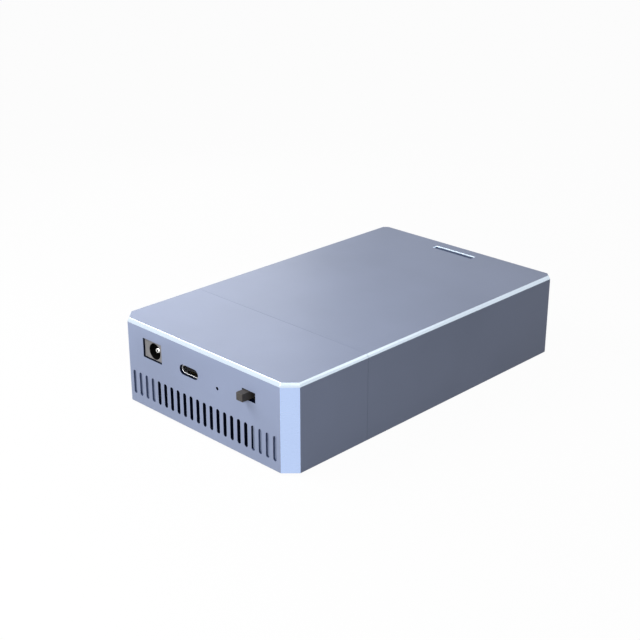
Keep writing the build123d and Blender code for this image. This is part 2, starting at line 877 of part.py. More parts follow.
# Power switch: steel frame, moulded base with three terminals, sliding knob and its wiper
with BuildPart() as switch_frame:
    with BuildSketch(facing(switch_face_y)):
        with Locations((switch_x, switch_z)):
            Rectangle(switch_frame_width, switch_frame_height)
    extrude(amount=-switch_frame_depth)
    with BuildSketch(facing(switch_plate_y)):
        with Locations((switch_x, switch_z)):
            Rectangle(
                switch_frame_width - 2 * switch_frame_wall,
                switch_frame_height - 2 * switch_frame_wall,
            )
    extrude(amount=-switch_frame_depth, mode=Mode.SUBTRACT)
    with BuildSketch(facing(switch_face_y)):
        with Locations((switch_x, switch_z)):
            Rectangle(
                knob_width + switch_travel + 2 * switch_window_clearance,
                knob_height + 2 * switch_window_clearance,
            )
    extrude(amount=-switch_frame_wall, mode=Mode.SUBTRACT)
    with BuildSketch(Plane.XY.offset(board_under_z - tab_below)):
        with Locations(*switch_tab_places):
            Rectangle(switch_frame_wall, switch_tab_length)
    extrude(amount=switch_z - board_under_z + tab_below)

switch_frame.part.label = "switch_frame"
export_step(switch_frame.part, "parts/switch_frame.step")

with BuildPart() as switch_terminals:
    terminal_rear_y = switch_tail_y + switch_terminal_thickness / 2
    terminal_front_y = switch_base_y - switch_terminal_proud
    terminal_top_z = switch_z + switch_terminal_thickness / 2
    terminal_low_z = board_under_z - tab_below
    for x in switch_terminal_xs:
        with BuildSketch(Plane.YZ.offset(x - switch_terminal_width / 2)):
            with BuildLine():
                Polyline(
                    (terminal_front_y, terminal_top_z - switch_terminal_thickness),
                    (terminal_front_y, terminal_top_z),
                    (terminal_rear_y, terminal_top_z),
                    (terminal_rear_y, terminal_low_z),
                    (terminal_rear_y - switch_terminal_thickness, terminal_low_z),
                    (
                        terminal_rear_y - switch_terminal_thickness,
                        terminal_top_z - switch_terminal_thickness,
                    ),
                    close=True,
                )
            make_face()
        extrude(amount=switch_terminal_width)

switch_terminals.part.label = "switch_terminals"
export_step(switch_terminals.part, "parts/switch_terminals.step")

with BuildPart() as switch_base:
    inner_width = switch_frame_width - 2 * switch_frame_wall
    inner_height = switch_frame_height - 2 * switch_frame_wall
    with BuildSketch(facing(switch_base_y)):
        with Locations((switch_x, switch_z)):
            Rectangle(inner_width, inner_height)
    extrude(amount=-switch_base_thickness)
    # Cheeks that stop the slider at both ends
    with BuildSketch(facing(switch_base_y)):
        for side in (-1, 1):
            with Locations((switch_x + side * (inner_width - switch_cheek) / 2, switch_z)):
                Rectangle(switch_cheek, inner_height)
    extrude(amount=switch_base_y - switch_plate_y)
    add(switch_terminals.part, mode=Mode.SUBTRACT)

switch_base.part.label = "switch_base"
export_step(switch_base.part, "parts/switch_base.step")

knob_flange_y = switch_plate_y + switch_flange_gap

with BuildPart() as switch_knob:
    with BuildSketch(facing(knob_flange_y)):
        with Locations((knob_x, switch_z)):
            Rectangle(switch_flange_width, switch_flange_height)
    extrude(amount=-switch_flange_thickness)
    with BuildSketch(facing(knob_flange_y)):
        with Locations((knob_x, switch_z)):
            Rectangle(knob_width, knob_height)
    extrude(amount=knob_flange_y - front_y + knob_proud)
    tip = switch_knob.faces().sort_by(Axis.Y)[0]
    fillet(tip.edges(), radius=knob_edge)

switch_knob.part.label = "switch_knob"
export_step(switch_knob.part, "parts/switch_knob.step")

wiper_y = knob_flange_y + switch_flange_thickness
wiper_end_y = switch_base_y - switch_terminal_proud - switch_wiper_gap

with BuildPart() as switch_wiper:
    outer_x = switch_wiper_width / 2
    leg_x = outer_x - switch_wiper_foot
    web_y = wiper_y + switch_wiper_thickness
    with BuildSketch(Plane.XY.offset(switch_z)):
        with BuildLine():
            Polyline(
                (knob_x - outer_x, wiper_end_y),
                (knob_x - outer_x, wiper_y),
                (knob_x + outer_x, wiper_y),
                (knob_x + outer_x, wiper_end_y),
                (knob_x + leg_x, wiper_end_y),
                (knob_x + leg_x, web_y),
                (knob_x - leg_x, web_y),
                (knob_x - leg_x, wiper_end_y),
                close=True,
            )
        make_face()
    extrude(amount=switch_terminal_width, both=True)

switch_wiper.part.label = "switch_wiper"
export_step(switch_wiper.part, "parts/switch_wiper.step")

# Indicator at the front edge of the board, its lens towards the pinhole
with BuildPart() as status_led:
    with BuildSketch(Plane.XY.offset(board_z)):
        with Locations((led_x, board_front_y)):
            Rectangle(led_width, led_depth, align=(Align.CENTER, Align.MIN))
            Rectangle(led_lens_width, led_lens_proud, align=(Align.CENTER, Align.MAX))
    extrude(amount=led_height)

status_led.part.label = "status_led"
export_step(status_led.part, "parts/status_led.step")

# Bridge chip with its heat sink
with BuildPart() as bridge_chip:
    with Locations(on_board(chip_place)):
        Box(chip_size, chip_size, chip_height, align=(Align.CENTER, Align.CENTER, Align.MIN))

bridge_chip.part.label = "bridge_chip"
export_step(bridge_chip.part, "parts/bridge_chip.step")

with BuildPart() as thermal_tape:
    with Locations(on_board(chip_place, chip_height)):
        Box(tape_size, tape_size, tape_thickness, align=(Align.CENTER, Align.CENTER, Align.MIN))

thermal_tape.part.label = "thermal_tape"
export_step(thermal_tape.part, "parts/thermal_tape.step")

with BuildPart() as heat_sink:
    sink_front_y = board_front_y + chip_place[1] - sink_size / 2
    sink_z = board_z + chip_height + tape_thickness
    fin_pitch = (sink_size - fin_thickness) / (fin_count - 1)
    with BuildSketch(facing(sink_front_y)):
        with Locations((chip_place[0], sink_z)):
            Rectangle(sink_size, sink_base, align=(Align.CENTER, Align.MIN))
            with Locations(*[(x, 0) for x in spread(fin_count, fin_pitch)]):
                Rectangle(fin_thickness, sink_height, align=(Align.CENTER, Align.MIN))
    extrude(amount=-sink_size)

heat_sink.part.label = "heat_sink"
export_step(heat_sink.part, "parts/heat_sink.step")

# Firmware memory with its two rows of pins
with BuildPart() as flash_chip:
    with Locations(on_board(flash_place)):
        Box(flash_length, flash_width, flash_height, align=(Align.CENTER, Align.CENTER, Align.MIN))
    with Locations(on_board(flash_place)):
        with Locations(
            *[
                (x, side * (flash_width + flash_pin_length) / 2)
                for side in (-1, 1)
                for x in spread(flash_pin_count, flash_pin_pitch)
            ]
        ):
            Box(
                flash_pin_width,
                flash_pin_length,
                flash_pin_height,
                align=(Align.CENTER, Align.CENTER, Align.MIN),
            )

flash_chip.part.label = "flash_chip"
export_step(flash_chip.part, "parts/flash_chip.step")

# Clock crystal in its can
with BuildPart() as crystal:
    with Locations(on_board(crystal_place)):
        Box(
            crystal_length,
            crystal_width,
            crystal_height,
            align=(Align.CENTER, Align.CENTER, Align.MIN),
        )
    chamfer(crystal.edges().filter_by(Axis.Z), length=crystal_corner)

crystal.part.label = "crystal"
export_step(crystal.part, "parts/crystal.step")

# Two step-down regulators with their moulded inductors
with BuildPart() as regulators:
    with Locations(*[on_board(place, from_x=left_x) for place in regulator_left_places]):
        Box(
            regulator_size,
            regulator_size,
            regulator_height,
            align=(Align.CENTER, Align.CENTER, Align.MIN),
        )

regulators.part.label = "regulators"
export_step(regulators.part, "parts/regulators.step")

with BuildPart() as power_inductors:
    with Locations(*[on_board(place, from_x=left_x) for place in inductor_left_places]):
        Box(
            inductor_size,
            inductor_size,
            inductor_height,
            align=(Align.CENTER, Align.CENTER, Align.MIN),
        )
    chamfer(power_inductors.edges().filter_by(Axis.Z), length=inductor_corner)

power_inductors.part.label = "power_inductors"
export_step(power_inductors.part, "parts/power_inductors.step")

# Polymer capacitors: a moulded foot with two cut corners under a drawn can
with BuildPart() as bulk_capacitors:
    for x, from_front in capacitor_right_places:
        with BuildSketch(Plane.XY.offset(board_z)):
            with Locations((right_x + x, board_front_y + from_front)):
                moulded_foot = Rectangle(capacitor_base_size, capacitor_base_size)
            chamfer(moulded_foot.vertices().group_by(Axis.Y)[0], length=capacitor_base_corner)
        extrude(amount=capacitor_base_height)
    can_places = [
        on_board(place, capacitor_base_height, right_x) for place in capacitor_right_places
    ]
    with Locations(*can_places):
        Cylinder(
            capacitor_radius,
            capacitor_height - capacitor_base_height,
            align=(Align.CENTER, Align.CENTER, Align.MIN),
        )

bulk_capacitors.part.label = "bulk_capacitors"
export_step(bulk_capacitors.part, "parts/bulk_capacitors.step")

# Rows of small ceramic capacitors and resistors
with BuildPart() as ceramic_capacitors:
    ceramic_places = on_board_rows(
        ceramic_row, ceramic_left_row, ceramic_right_row, ceramic_row_count, ceramic_pitch
    )
    with Locations(*ceramic_places):
        Box(
            ceramic_length,
            ceramic_width,
            ceramic_height,
            align=(Align.CENTER, Align.CENTER, Align.MIN),
        )

ceramic_capacitors.part.label = "ceramic_capacitors"
export_step(ceramic_capacitors.part, "parts/ceramic_capacitors.step")

with BuildPart() as chip_resistors:
    resistor_places = on_board_rows(
        resistor_row, resistor_left_row, resistor_right_row, resistor_row_count, resistor_pitch
    )
    with Locations(*resistor_places):
        Box(
            resistor_width,
            resistor_length,
            resistor_height,
            align=(Align.CENTER, Align.CENTER, Align.MIN),
        )

chip_resistors.part.label = "chip_resistors"
export_step(chip_resistors.part, "parts/chip_resistors.step")

# Drive receptacle below the board: body, nose that enters the drive, slot and contacts
receptacle_x = -drive_plug_offset
receptacle_width = receptacle_nose_width + 2 * receptacle_shoulder
receptacle_slot_width = receptacle_nose_width - 2 * receptacle_cheek
receptacle_low_z = plug_z - receptacle_below
receptacle_rear_y = board_rear_y + receptacle_from_rear
receptacle_front_y = receptacle_rear_y - receptacle_body_depth
nose_end_y = drive_front_y + receptacle_nose_reach
contact_start_y = nose_end_y - drive_contact_setback

with BuildPart() as drive_contacts:
    for side, tail_steps in ((-1, 2), (1, 1)):
        blade_z = plug_z + side * (receptacle_slot_height - drive_contact_thickness) / 2
        blade_low_z = blade_z - drive_contact_thickness / 2
        blade_high_z = blade_z + drive_contact_thickness / 2
        tail_y = receptacle_front_y - drive_tail_step * tail_steps
        for x in spread(drive_contact_count, drive_contact_pitch):
            with BuildSketch(Plane.YZ.offset(receptacle_x + x - drive_contact_width / 2)):
                with BuildLine():
                    Polyline(
                        (contact_start_y, blade_low_z),
                        (contact_start_y, blade_high_z),
                        (tail_y + drive_contact_thickness, blade_high_z),
                        (tail_y + drive_contact_thickness, board_under_z),
                        (tail_y, board_under_z),
                        (tail_y, blade_low_z),
                        close=True,
                    )
                make_face()
            extrude(amount=drive_contact_width)

drive_contacts.part.label = "drive_contacts"
export_step(drive_contacts.part, "parts/drive_contacts.step")

with BuildPart() as drive_receptacle:
    with BuildSketch(facing(receptacle_front_y)):
        with Locations((receptacle_x, receptacle_low_z)):
            Rectangle(
                receptacle_width, board_under_z - receptacle_low_z, align=(Align.CENTER, Align.MIN)
            )
    extrude(amount=-receptacle_body_depth)
    with BuildSketch(facing(receptacle_rear_y)):
        with Locations((receptacle_x, plug_z)):
            Rectangle(receptacle_nose_width, receptacle_nose_height)
    extrude(amount=-(nose_end_y - receptacle_rear_y))
    nose_edges = drive_receptacle.faces().sort_by(Axis.Y)[-1].edges()
    chamfer(nose_edges, length=receptacle_edge)
    # Slot for the drive's tongue, with an upright key at each end
    with BuildSketch(facing(nose_end_y)):
        with Locations((receptacle_x, plug_z)):
            Rectangle(receptacle_slot_width, receptacle_slot_height)
        for side in (-1, 1):
            key_x = receptacle_x + side * (receptacle_slot_width - receptacle_key_width) / 2
            with Locations((key_x, plug_z)):
                Rectangle(receptacle_key_width, receptacle_key_height)
    extrude(amount=receptacle_slot_depth, mode=Mode.SUBTRACT)
    add(drive_contacts.part, mode=Mode.SUBTRACT)

drive_receptacle.part.label = "drive_receptacle"
export_step(drive_receptacle.part, "parts/drive_receptacle.step")
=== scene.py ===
"""Dresses the drive enclosure: anodised shells, ports, switch, board and a plain studio."""

import math

import bmesh
import bpy
from bpy.props import FloatProperty, FloatVectorProperty, IntProperty, PointerProperty
from bpy.types import Operator, Panel, PropertyGroup
from mathutils import Matrix, Vector


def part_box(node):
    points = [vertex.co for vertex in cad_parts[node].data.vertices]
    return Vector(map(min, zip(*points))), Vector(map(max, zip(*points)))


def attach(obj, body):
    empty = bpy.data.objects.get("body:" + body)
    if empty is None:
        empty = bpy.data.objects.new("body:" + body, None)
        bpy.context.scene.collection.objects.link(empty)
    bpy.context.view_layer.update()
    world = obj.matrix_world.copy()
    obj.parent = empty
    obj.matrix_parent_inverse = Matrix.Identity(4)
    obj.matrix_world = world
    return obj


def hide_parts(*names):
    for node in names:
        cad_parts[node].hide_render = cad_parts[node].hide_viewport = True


bl_info = {
    "name": "Drive Enclosure",
    "version": (1, 0, 0),
    "blender": (4, 5, 0),
    "location": "View3D > Sidebar > Enclosure",
    "description": "Builds and finishes a drive enclosure with a sliding cover",
    "category": "Object",
}

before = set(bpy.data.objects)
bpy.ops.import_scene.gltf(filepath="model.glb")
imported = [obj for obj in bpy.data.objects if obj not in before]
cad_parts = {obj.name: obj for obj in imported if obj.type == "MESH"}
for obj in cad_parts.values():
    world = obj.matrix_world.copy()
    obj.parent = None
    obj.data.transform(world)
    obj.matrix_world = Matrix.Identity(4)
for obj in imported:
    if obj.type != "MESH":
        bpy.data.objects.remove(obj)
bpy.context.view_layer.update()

MM = 0.001
MERGE_DISTANCE = 1e-6
HAIR = 0.1 * MM
FLAT_ANGLE = math.radians(0.5)
SMOOTH_ANGLE = math.radians(35)
BEVEL_ANGLE = math.radians(30)

# Shares of a unit normal along an axis, by which faces and the board's rim are told apart
UPRIGHT = 0.2
HALF = 0.5
FACING = 0.9
NEARLY_LEVEL = 0.985
LEVEL = 0.99

UP = (0.0, 0.0, 1.0)
WHITE = (1.0, 1.0, 1.0, 1.0)

# The housing's own measures, as in the CAD model
shell_low, shell_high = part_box("front_shell")
cover_low, cover_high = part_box("sliding_cover")
RIM_HEIGHT = 1.4 * MM
WALL = 2.0 * MM
CORNER = 4.5 * MM
SEAM_REACH = 0.2 * MM
RECESS_EDGE = 0.45 * MM
OPEN_ROW_REACH = 25.0 * MM
ROW_TOP = 16.0 * MM

# Just short of a wall's inner face, and just past a wall and past a rounded corner
INNER_FACE = 0.9 * WALL
PAST_WALL = 1.05 * WALL
PAST_CORNER = 1.05 * CORNER


class HousingSettings(PropertyGroup):
    """Finish of the three aluminium pieces."""

    skin: FloatVectorProperty(
        name="Anodised skin",
        description="Colour of the blasted and anodised faces",
        subtype="COLOR",
        size=3,
        min=0.0,
        max=1.0,
        default=(0.31, 0.363, 0.518),
    )
    cut_edge: FloatVectorProperty(
        name="Cut edge",
        description="Colour of the edges that are milled bright after anodising",
        subtype="COLOR",
        size=3,
        min=0.0,
        max=1.0,
        default=(0.75, 0.865, 1.0),
    )
    # Painted highlight: the upright corners get this light blue to stand for the bright glint
    # they catch
    corner_highlight: FloatVectorProperty(
        name="Cut corner",
        description="Colour of the upright corners that are milled and dyed once more",
        subtype="COLOR",
        size=3,
        min=0.0,
        max=1.0,
        default=(0.54, 0.675, 1.0),
    )
    # Painted shade: a dark blue that stands for the shade in the shallow slots, the rear slots
    # and the thumb recess
    slot_shade: FloatVectorProperty(
        name="Slot skin",
        description="Colour of the walls of the shallow slots, the rear slots and the recess",
        subtype="COLOR",
        size=3,
        min=0.0,
        max=1.0,
        default=(0.082, 0.108, 0.19),
    )
    # Painted shade: near black that stands for the deep shade behind the front panel and in its
    # openings
    inner_shade: FloatVectorProperty(
        name="Inner skin",
        description="Colour of the faces behind the front panel and of the openings in it",
        subtype="COLOR",
        size=3,
        min=0.0,
        max=1.0,
        default=(0.004, 0.008, 0.024),
    )
    edge_softness: FloatProperty(
        name="Edge softness",
        description="Width of the rounding left on machined edges",
        unit="LENGTH",
        default=0.12 * MM,
        min=0.0,
    )


class FittingSettings(PropertyGroup):
    """Sizes and colours of the fittings that are seen from outside."""

    jack_grey: FloatVectorProperty(
        name="Inlet moulding",
        description="Colour of the power inlet's moulded face",
        subtype="COLOR",
        size=3,
        min=0.0,
        max=1.0,
        default=(0.24, 0.235, 0.24),
    )
    knob_grey: FloatVectorProperty(
        name="Switch knob",
        description="Colour of the switch knob",
        subtype="COLOR",
        size=3,
        min=0.0,
        max=1.0,
        default=(0.085, 0.078, 0.074),
    )
    rubber: FloatVectorProperty(
        name="Rubber",
        description="Colour of the feet",
        subtype="COLOR",
        size=3,
        min=0.0,
        max=1.0,
        default=(0.018, 0.018, 0.02),
    )
    foot_groove: FloatProperty(
        name="Foot groove",
        description="Depth of the groove round the sole of a foot",
        unit="LENGTH",
        default=0.25 * MM,
        min=0.0,
    )


class BoardSettings(PropertyGroup):
    """Colours of the circuit board and how finely its round parts are divided."""

    mask: FloatVectorProperty(
        name="Solder mask",
        description="Colour of the board's lacquer",
        subtype="COLOR",
        size=3,
        min=0.0,
        max=1.0,
        default=(0.010, 0.075, 0.035),
    )
    sides: IntProperty(
        name="Round sides",
        description="Number of sides of cans, pins and screws",
        default=40,
        min=12,
        max=96,
    )


class StudioSettings(PropertyGroup):
    """Camera and light of the studio."""

    lens: FloatProperty(
        name="Lens",
        description="Focal length in millimetres",
        default=70.36,
        min=10.0,
    )
    lamp_level: FloatProperty(
        name="Lamp level",
        description="Share of their set power that the lamps give",
        default=1.0,
        min=0.0,
    )
    room_level: FloatProperty(
        name="Room light",
        description="Strength of the even light from all round",
        default=0.08,
        min=0.0,
    )


class Wire:
    """Output of a shader node that stands in expressions with numbers and other wires."""

    def __init__(self, finish, socket):
        self.finish = finish
        self.socket = socket

    def __add__(self, other):
        return self.finish.sum("ADD", self, other)

    __radd__ = __add__

    def __sub__(self, other):
        return self.finish.sum("SUBTRACT", self, other)

    def __rsub__(self, other):
        return self.finish.sum("SUBTRACT", other, self)

    def __mul__(self, other):
        return self.finish.sum("MULTIPLY", self, other)

    __rmul__ = __mul__

    def __gt__(self, other):
        return self.finish.sum("GREATER_THAN", self, other)

    def __lt__(self, other):
        return self.finish.sum("LESS_THAN", self, other)


class Finish:
    """Nodes of a material or world: node() adds one, and expressions on wires add sums."""

    def __init__(self, owner):
        owner.use_nodes = True
        self.owner = owner
        self.tree = owner.node_tree
        self.tree.nodes.clear()

    def node(self, kind, settings=None, sockets=None, output=None):
        """Adds a node, sets it, fills or links its inputs and returns one output."""
        made = self.tree.nodes.new(kind)
        for key, value in (settings or {}).items():
            setattr(made, key, value)
        for key, value in (sockets or {}).items():
            if isinstance(key, int):
                socket = made.inputs[key]
            else:
                socket = next(s for s in made.inputs if s.name == key and s.enabled)
            if isinstance(value, Wire):
                self.tree.links.new(value.socket, socket)
            else:
                socket.default_value = value
        if output:
            return Wire(self, made.outputs[output])
        shown = [s for s in made.outputs if s.enabled]
        return Wire(self, shown[0]) if shown else None

    def sum(self, operation, left, right):
        """Result of a Math node."""
        return self.node("ShaderNodeMath", {"operation": operation}, {0: left, 1: right})

    def place(self, scale=(1.0, 1.0, 1.0)):
        """Object coordinates, stretched along the axes."""
        spot = self.node("ShaderNodeTexCoord", output="Object")
        return self.node("ShaderNodeMapping", {}, {"Vector": spot, "Scale": scale})

    def noise(self, place, scale, detail=2.0):
        """Noise from 0 to 1."""
        return self.node(
            "ShaderNodeTexNoise",
            {},
            {"Vector": place, "Scale": scale, "Detail": detail},
            "Fac",
        )

    def span(self, value, low, high, start=0.0, end=1.0):
        """Value taken from one range to another and kept inside it."""
        return self.node(
            "ShaderNodeMapRange",
            {"clamp": True},
            {"Value": value, "From Min": low, "From Max": high, "To Min": start, "To Max": end},
        )

    def spread(self, noise, start=0.0, end=1.0):
        """The middle range of a noise, where most of it lies, taken to another range."""
        return self.span(noise, 0.3, 0.7, start, end)

    def mix(self, factor, low, high):
        """Colour between two colours."""
        return self.node(
            "ShaderNodeMix",
            {"data_type": "RGBA"},
            {"Factor": factor, "A": low, "B": high},
        )

    def bump(self, height, strength, depth):
        """Normal that follows a height."""
        return self.node(
            "ShaderNodeBump",
            {},
            {"Height": height, "Strength": strength, "Distance": depth},
        )

    def done(self, sockets):
        """Closes the material with one surface shader."""
        shader = self.node("ShaderNodeBsdfPrincipled", {}, sockets)
        self.node("ShaderNodeOutputMaterial", {}, {"Surface": shader})
        return self.owner


def new_finish(name):
    """Empty material to build a finish in."""
    return Finish(bpy.data.materials.new(name))


def opaque(colour, share=1.0):
    """Colour socket value, made lighter or darker by a share."""
    return (*[min(1.0, part * share) for part in colour], 1.0)


def anodised_finish(name, colour, gloss=0.2, shade_end=None):
    """Blasted aluminium under a dyed oxide layer: matt grain and a faint cloudiness.

    With a shade end (start, end, colour) it fades towards the front to that colour, a painted
    shade for faces that lie deep behind the front panel.
    """
    skin = new_finish(name)
    place = skin.place()
    grain = skin.noise(place, scale=4200.0)
    cloud = skin.noise(place, scale=26.0, detail=3.0)
    tone = skin.span(cloud * 0.75 + grain * 0.25, low=0.34, high=0.66)
    base = skin.mix(tone, opaque(colour, 0.95), opaque(colour, 1.05))
    if shade_end:
        start, end, end_colour = shade_end
        along = skin.node("ShaderNodeSeparateXYZ", {}, {"Vector": place}, "Y")
        base = skin.mix(skin.span(along, start, end), opaque(end_colour), base)
    return skin.done(
        {
            "Base Color": base,
            "Metallic": 0.06,
            "Roughness": skin.spread(grain, start=0.36, end=0.46),
            "Specular IOR Level": gloss,
            "Normal": skin.bump(grain, strength=0.16, depth=0.012 * MM),
        }
    )


def cut_metal_finish(name, colour):
    """Bare aluminium edge with the fine lines of the cutter."""
    cut = new_finish(name)
    lines = cut.noise(cut.place((40.0, 40.0, 2600.0)), scale=3.0, detail=3.0)
    cloud = cut.noise(cut.place(), scale=60.0)
    tone = cut.spread(lines * 0.7 + cloud * 0.3)
    return cut.done(
        {
            "Base Color": cut.mix(tone, opaque(colour, 0.96), opaque(colour, 1.03)),
            "Metallic": 0.85,
            "Roughness": cut.spread(lines, start=0.2, end=0.28),
            "Normal": cut.bump(lines, strength=0.06, depth=0.002 * MM),
        }
    )


def moulded_finish(name, colour, roughness=0.5, grains=2600.0, gloss=0.4):
    """Moulded plastic, finely textured, in grains to the metre, and slightly uneven in tone."""
    plastic = new_finish(name)
    place = plastic.place()
    grain = plastic.noise(place, scale=grains)
    cloud = plastic.noise(place, scale=180.0)
    tone = plastic.span(cloud * 0.6 + grain * 0.4, low=0.35, high=0.65)
    return plastic.done(
        {
            "Base Color": plastic.mix(tone, opaque(colour, 0.88), opaque(colour, 1.12)),
            "Roughness": plastic.spread(grain, roughness - 0.05, roughness + 0.08),
            "Specular IOR Level": gloss,
            "Normal": plastic.bump(grain, strength=0.2, depth=0.01 * MM),
        }
    )


def plated_finish(name, colour, roughness=0.25, grains=900.0):
    """Plated or drawn metal with a rolling grain, in grains to the metre, and dulled spots."""
    plate = new_finish(name)
    grain = plate.noise(plate.place((1.0, 0.12, 1.0)), scale=grains, detail=3.0)
    dull = plate.noise(plate.place(), scale=320.0)
    tone = plate.span(grain * 0.5 + dull * 0.5, low=0.35, high=0.65)
    return plate.done(
        {
            "Base Color": plate.mix(tone, opaque(colour, 0.88), opaque(colour, 1.05)),
            "Metallic": 1.0,
            "Roughness": plate.spread(dull, roughness, roughness + 0.12),
            "Normal": plate.bump(grain, strength=0.1, depth=0.004 * MM),
        }
    )


def rubber_finish(name, colour):
    """Soft moulded rubber: dull, with a dusty bloom."""
    rubber = new_finish(name)
    place = rubber.place()
    grain = rubber.noise(place, scale=1800.0, detail=4.0)
    dust = rubber.noise(place, scale=240.0)
    bloom = rubber.span(dust, low=0.45, high=0.75, end=0.5)
    return rubber.done(
        {
            "Base Color": rubber.mix(bloom, opaque(colour), opaque(colour, 2.4)),
            "Roughness": rubber.spread(grain, start=0.68, end=0.86),
            "Normal": rubber.bump(grain, strength=0.35, depth=0.02 * MM),
        }
    )


def board_tracks(board, place):
    """1 on the copper under the lacquer, else 0.

    The tracks run in bundles. Every patch of the board has its own bundle, which runs along,
    across or slanted, or has none.
    """
    patches_per_metre = 150.0
    pitch = 0.62 * MM
    gap_share = 0.28
    patch = board.node(
        "ShaderNodeTexVoronoi",
        {"distance": "CHEBYCHEV"},
        {"Vector": place, "Scale": patches_per_metre, "Randomness": 0.85},
        "Color",
    )
    way = board.node("ShaderNodeSeparateColor", {}, {"Color": patch}, "Red")
    along_board = way < 0.4
    slanted = way > 0.78
    bare = board.node("ShaderNodeSeparateColor", {}, {"Color": patch}, "Green") > 0.72
    x = board.node("ShaderNodeSeparateXYZ", {}, {"Vector": place}, "X")
    y = board.node("ShaderNodeSeparateXYZ", {}, {"Vector": place}, "Y")
    run = (
        x * along_board
        + y * (1 - along_board) * (1 - slanted)
        + (x + y) * slanted * math.sqrt(0.5)
    )
    copper = board.sum("PINGPONG", run * (1 / pitch), 0.5) > gap_share
    return copper * (1 - bare)


def board_finish(name, colour):
    """Lacquered board: tracks under the mask, bare vias with painted shade in their drilled
    holes, and its raw edge.
    """
    board = new_finish(name)
    place = board.place()
    tracks = board_tracks(board, place)
    vias_per_metre = 310.0
    via_share = 0.16
    drill_share = 0.07
    via = board.node(
        "ShaderNodeTexVoronoi", {}, {"Vector": place, "Scale": vias_per_metre}, "Distance"
    )
    ring = (via < via_share) * (via > drill_share)
    # Painted shade: the drilled hole of each via is black, standing for the dark inside the hole
    drill_shade = via < drill_share
    normal = board.node("ShaderNodeNewGeometry", output="Normal")
    upward = board.node("ShaderNodeSeparateXYZ", {}, {"Vector": normal}, "Z")
    rim = board.sum("ABSOLUTE", upward, 0.0) < HALF
    weave = board.noise(board.place((1.0, 1.0, 9.0)), scale=900.0)
    gold = opaque((0.72, 0.52, 0.22))
    black = opaque((0.01, 0.01, 0.01))
    dark_resin = opaque((0.30, 0.26, 0.13))
    pale_resin = opaque((0.46, 0.42, 0.24))
    lacquer = board.mix(tracks, opaque(colour), opaque(colour, 2.2))
    with_rings = board.mix(ring, lacquer, gold)
    drilled = board.mix(drill_shade, with_rings, black)
    raw = board.mix(weave, dark_resin, pale_resin)
    return board.done(
        {
            "Base Color": board.mix(rim, drilled, raw),
            "Metallic": ring * (1 - rim),
            "Roughness": board.span(rim, 0.0, 1.0, start=0.3, end=0.75),
            "Normal": board.bump(tracks + ring * 0.6, strength=0.5, depth=0.02 * MM),
        }
    )


def chip_finish(name):
    """Dark epoxy moulding with a fine spark-eroded grain."""
    return moulded_finish(name, (0.022, 0.022, 0.024), roughness=0.42, grains=5200.0)


def deselect():
    """Leaves object mode with nothing selected."""
    if bpy.context.mode != "OBJECT":
        bpy.ops.object.mode_set(mode="OBJECT")
    bpy.ops.object.select_all(action="DESELECT")


def hold(piece):
    """Makes one object the only selected and the active one."""
    deselect()
    piece.select_set(True)
    bpy.context.view_layer.objects.active = piece


def edit(piece, mode="FACE"):
    """Opens one object's mesh with nothing in it selected."""
    hold(piece)
    bpy.ops.object.mode_set(mode="EDIT")
    bpy.ops.mesh.select_mode(type=mode)
    bpy.ops.mesh.select_all(action="DESELECT")


def pick_faces(piece, test):
    """Selects the faces whose centre and normal pass a test."""
    net = bmesh.from_edit_mesh(piece.data)
    for face in net.faces:
        face.select_set(bool(test(face.calc_center_median(), face.normal)))
    bmesh.update_edit_mesh(piece.data)


def pick_edges(piece, test):
    """Selects the edges whose two ends pass a test."""
    net = bmesh.from_edit_mesh(piece.data)
    for edge in net.edges:
        edge.select_set(bool(test(edge.verts[0].co, edge.verts[1].co)))
    bmesh.update_edit_mesh(piece.data)


def give_faces(piece, slot, test):
    """Gives the faces that pass a test another of the piece's materials."""
    edit(piece)
    pick_faces(piece, test)
    piece.active_material_index = slot
    bpy.ops.object.material_slot_assign()
    bpy.ops.object.mode_set(mode="OBJECT")


def apply_modifiers(piece):
    """Applies all modifiers in order."""
    hold(piece)
    for modifier in list(piece.modifiers):
        bpy.ops.object.modifier_apply(modifier=modifier.name)


def soften(piece, width, segments=2, keep=None):
    """Rounds the sharp edges, but those to keep, and leaves large faces flat in the shading."""
    edit(piece, "EDGE")
    net = bmesh.from_edit_mesh(piece.data)
    weight = net.edges.layers.float.new("bevel_weight_edge")
    for edge in net.edges:
        sharp = edge.is_manifold and edge.calc_face_angle() > BEVEL_ANGLE
        kept = keep and keep(edge.verts[0].co, edge.verts[1].co)
        edge[weight] = float(sharp and not kept)
    bmesh.update_edit_mesh(piece.data)
    hold(piece)
    bpy.ops.object.shade_smooth_by_angle(angle=SMOOTH_ANGLE)
    rounding = piece.modifiers.new("Rounding", "BEVEL")
    rounding.width = width
    rounding.segments = segments
    rounding.limit_method = "WEIGHT"
    rounding.use_clamp_overlap = False
    rounding.miter_outer = "MITER_ARC"
    flatness = piece.modifiers.new("Flatness", "WEIGHTED_NORMAL")
    flatness.weight = 100
    flatness.keep_sharp = True
    apply_modifiers(piece)


def cad_copy(node):
    """Copy of a CAD node's mesh, merged, with its flat triangles joined again."""
    piece = bpy.data.objects.new(f"{node}_dressed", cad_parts[node].data.copy())
    bpy.context.collection.objects.link(piece)
    piece.data.materials.clear()
    hold(piece)
    bpy.ops.mesh.customdata_custom_splitnormals_clear()
    bpy.ops.object.mode_set(mode="EDIT")
    bpy.ops.mesh.select_all(action="SELECT")
    bpy.ops.mesh.remove_doubles(threshold=MERGE_DISTANCE)
    bpy.ops.mesh.dissolve_limited(angle_limit=FLAT_ANGLE)
    bpy.ops.object.mode_set(mode="OBJECT")
    return piece


def fit_in(piece, body, slot, *nodes):
    """Puts a finished piece on its body and hides what it stands for."""
    hold(piece)
    bpy.ops.object.transform_apply(location=True, rotation=True, scale=True)
    deselect()
    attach(piece, body)
    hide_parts(*nodes)


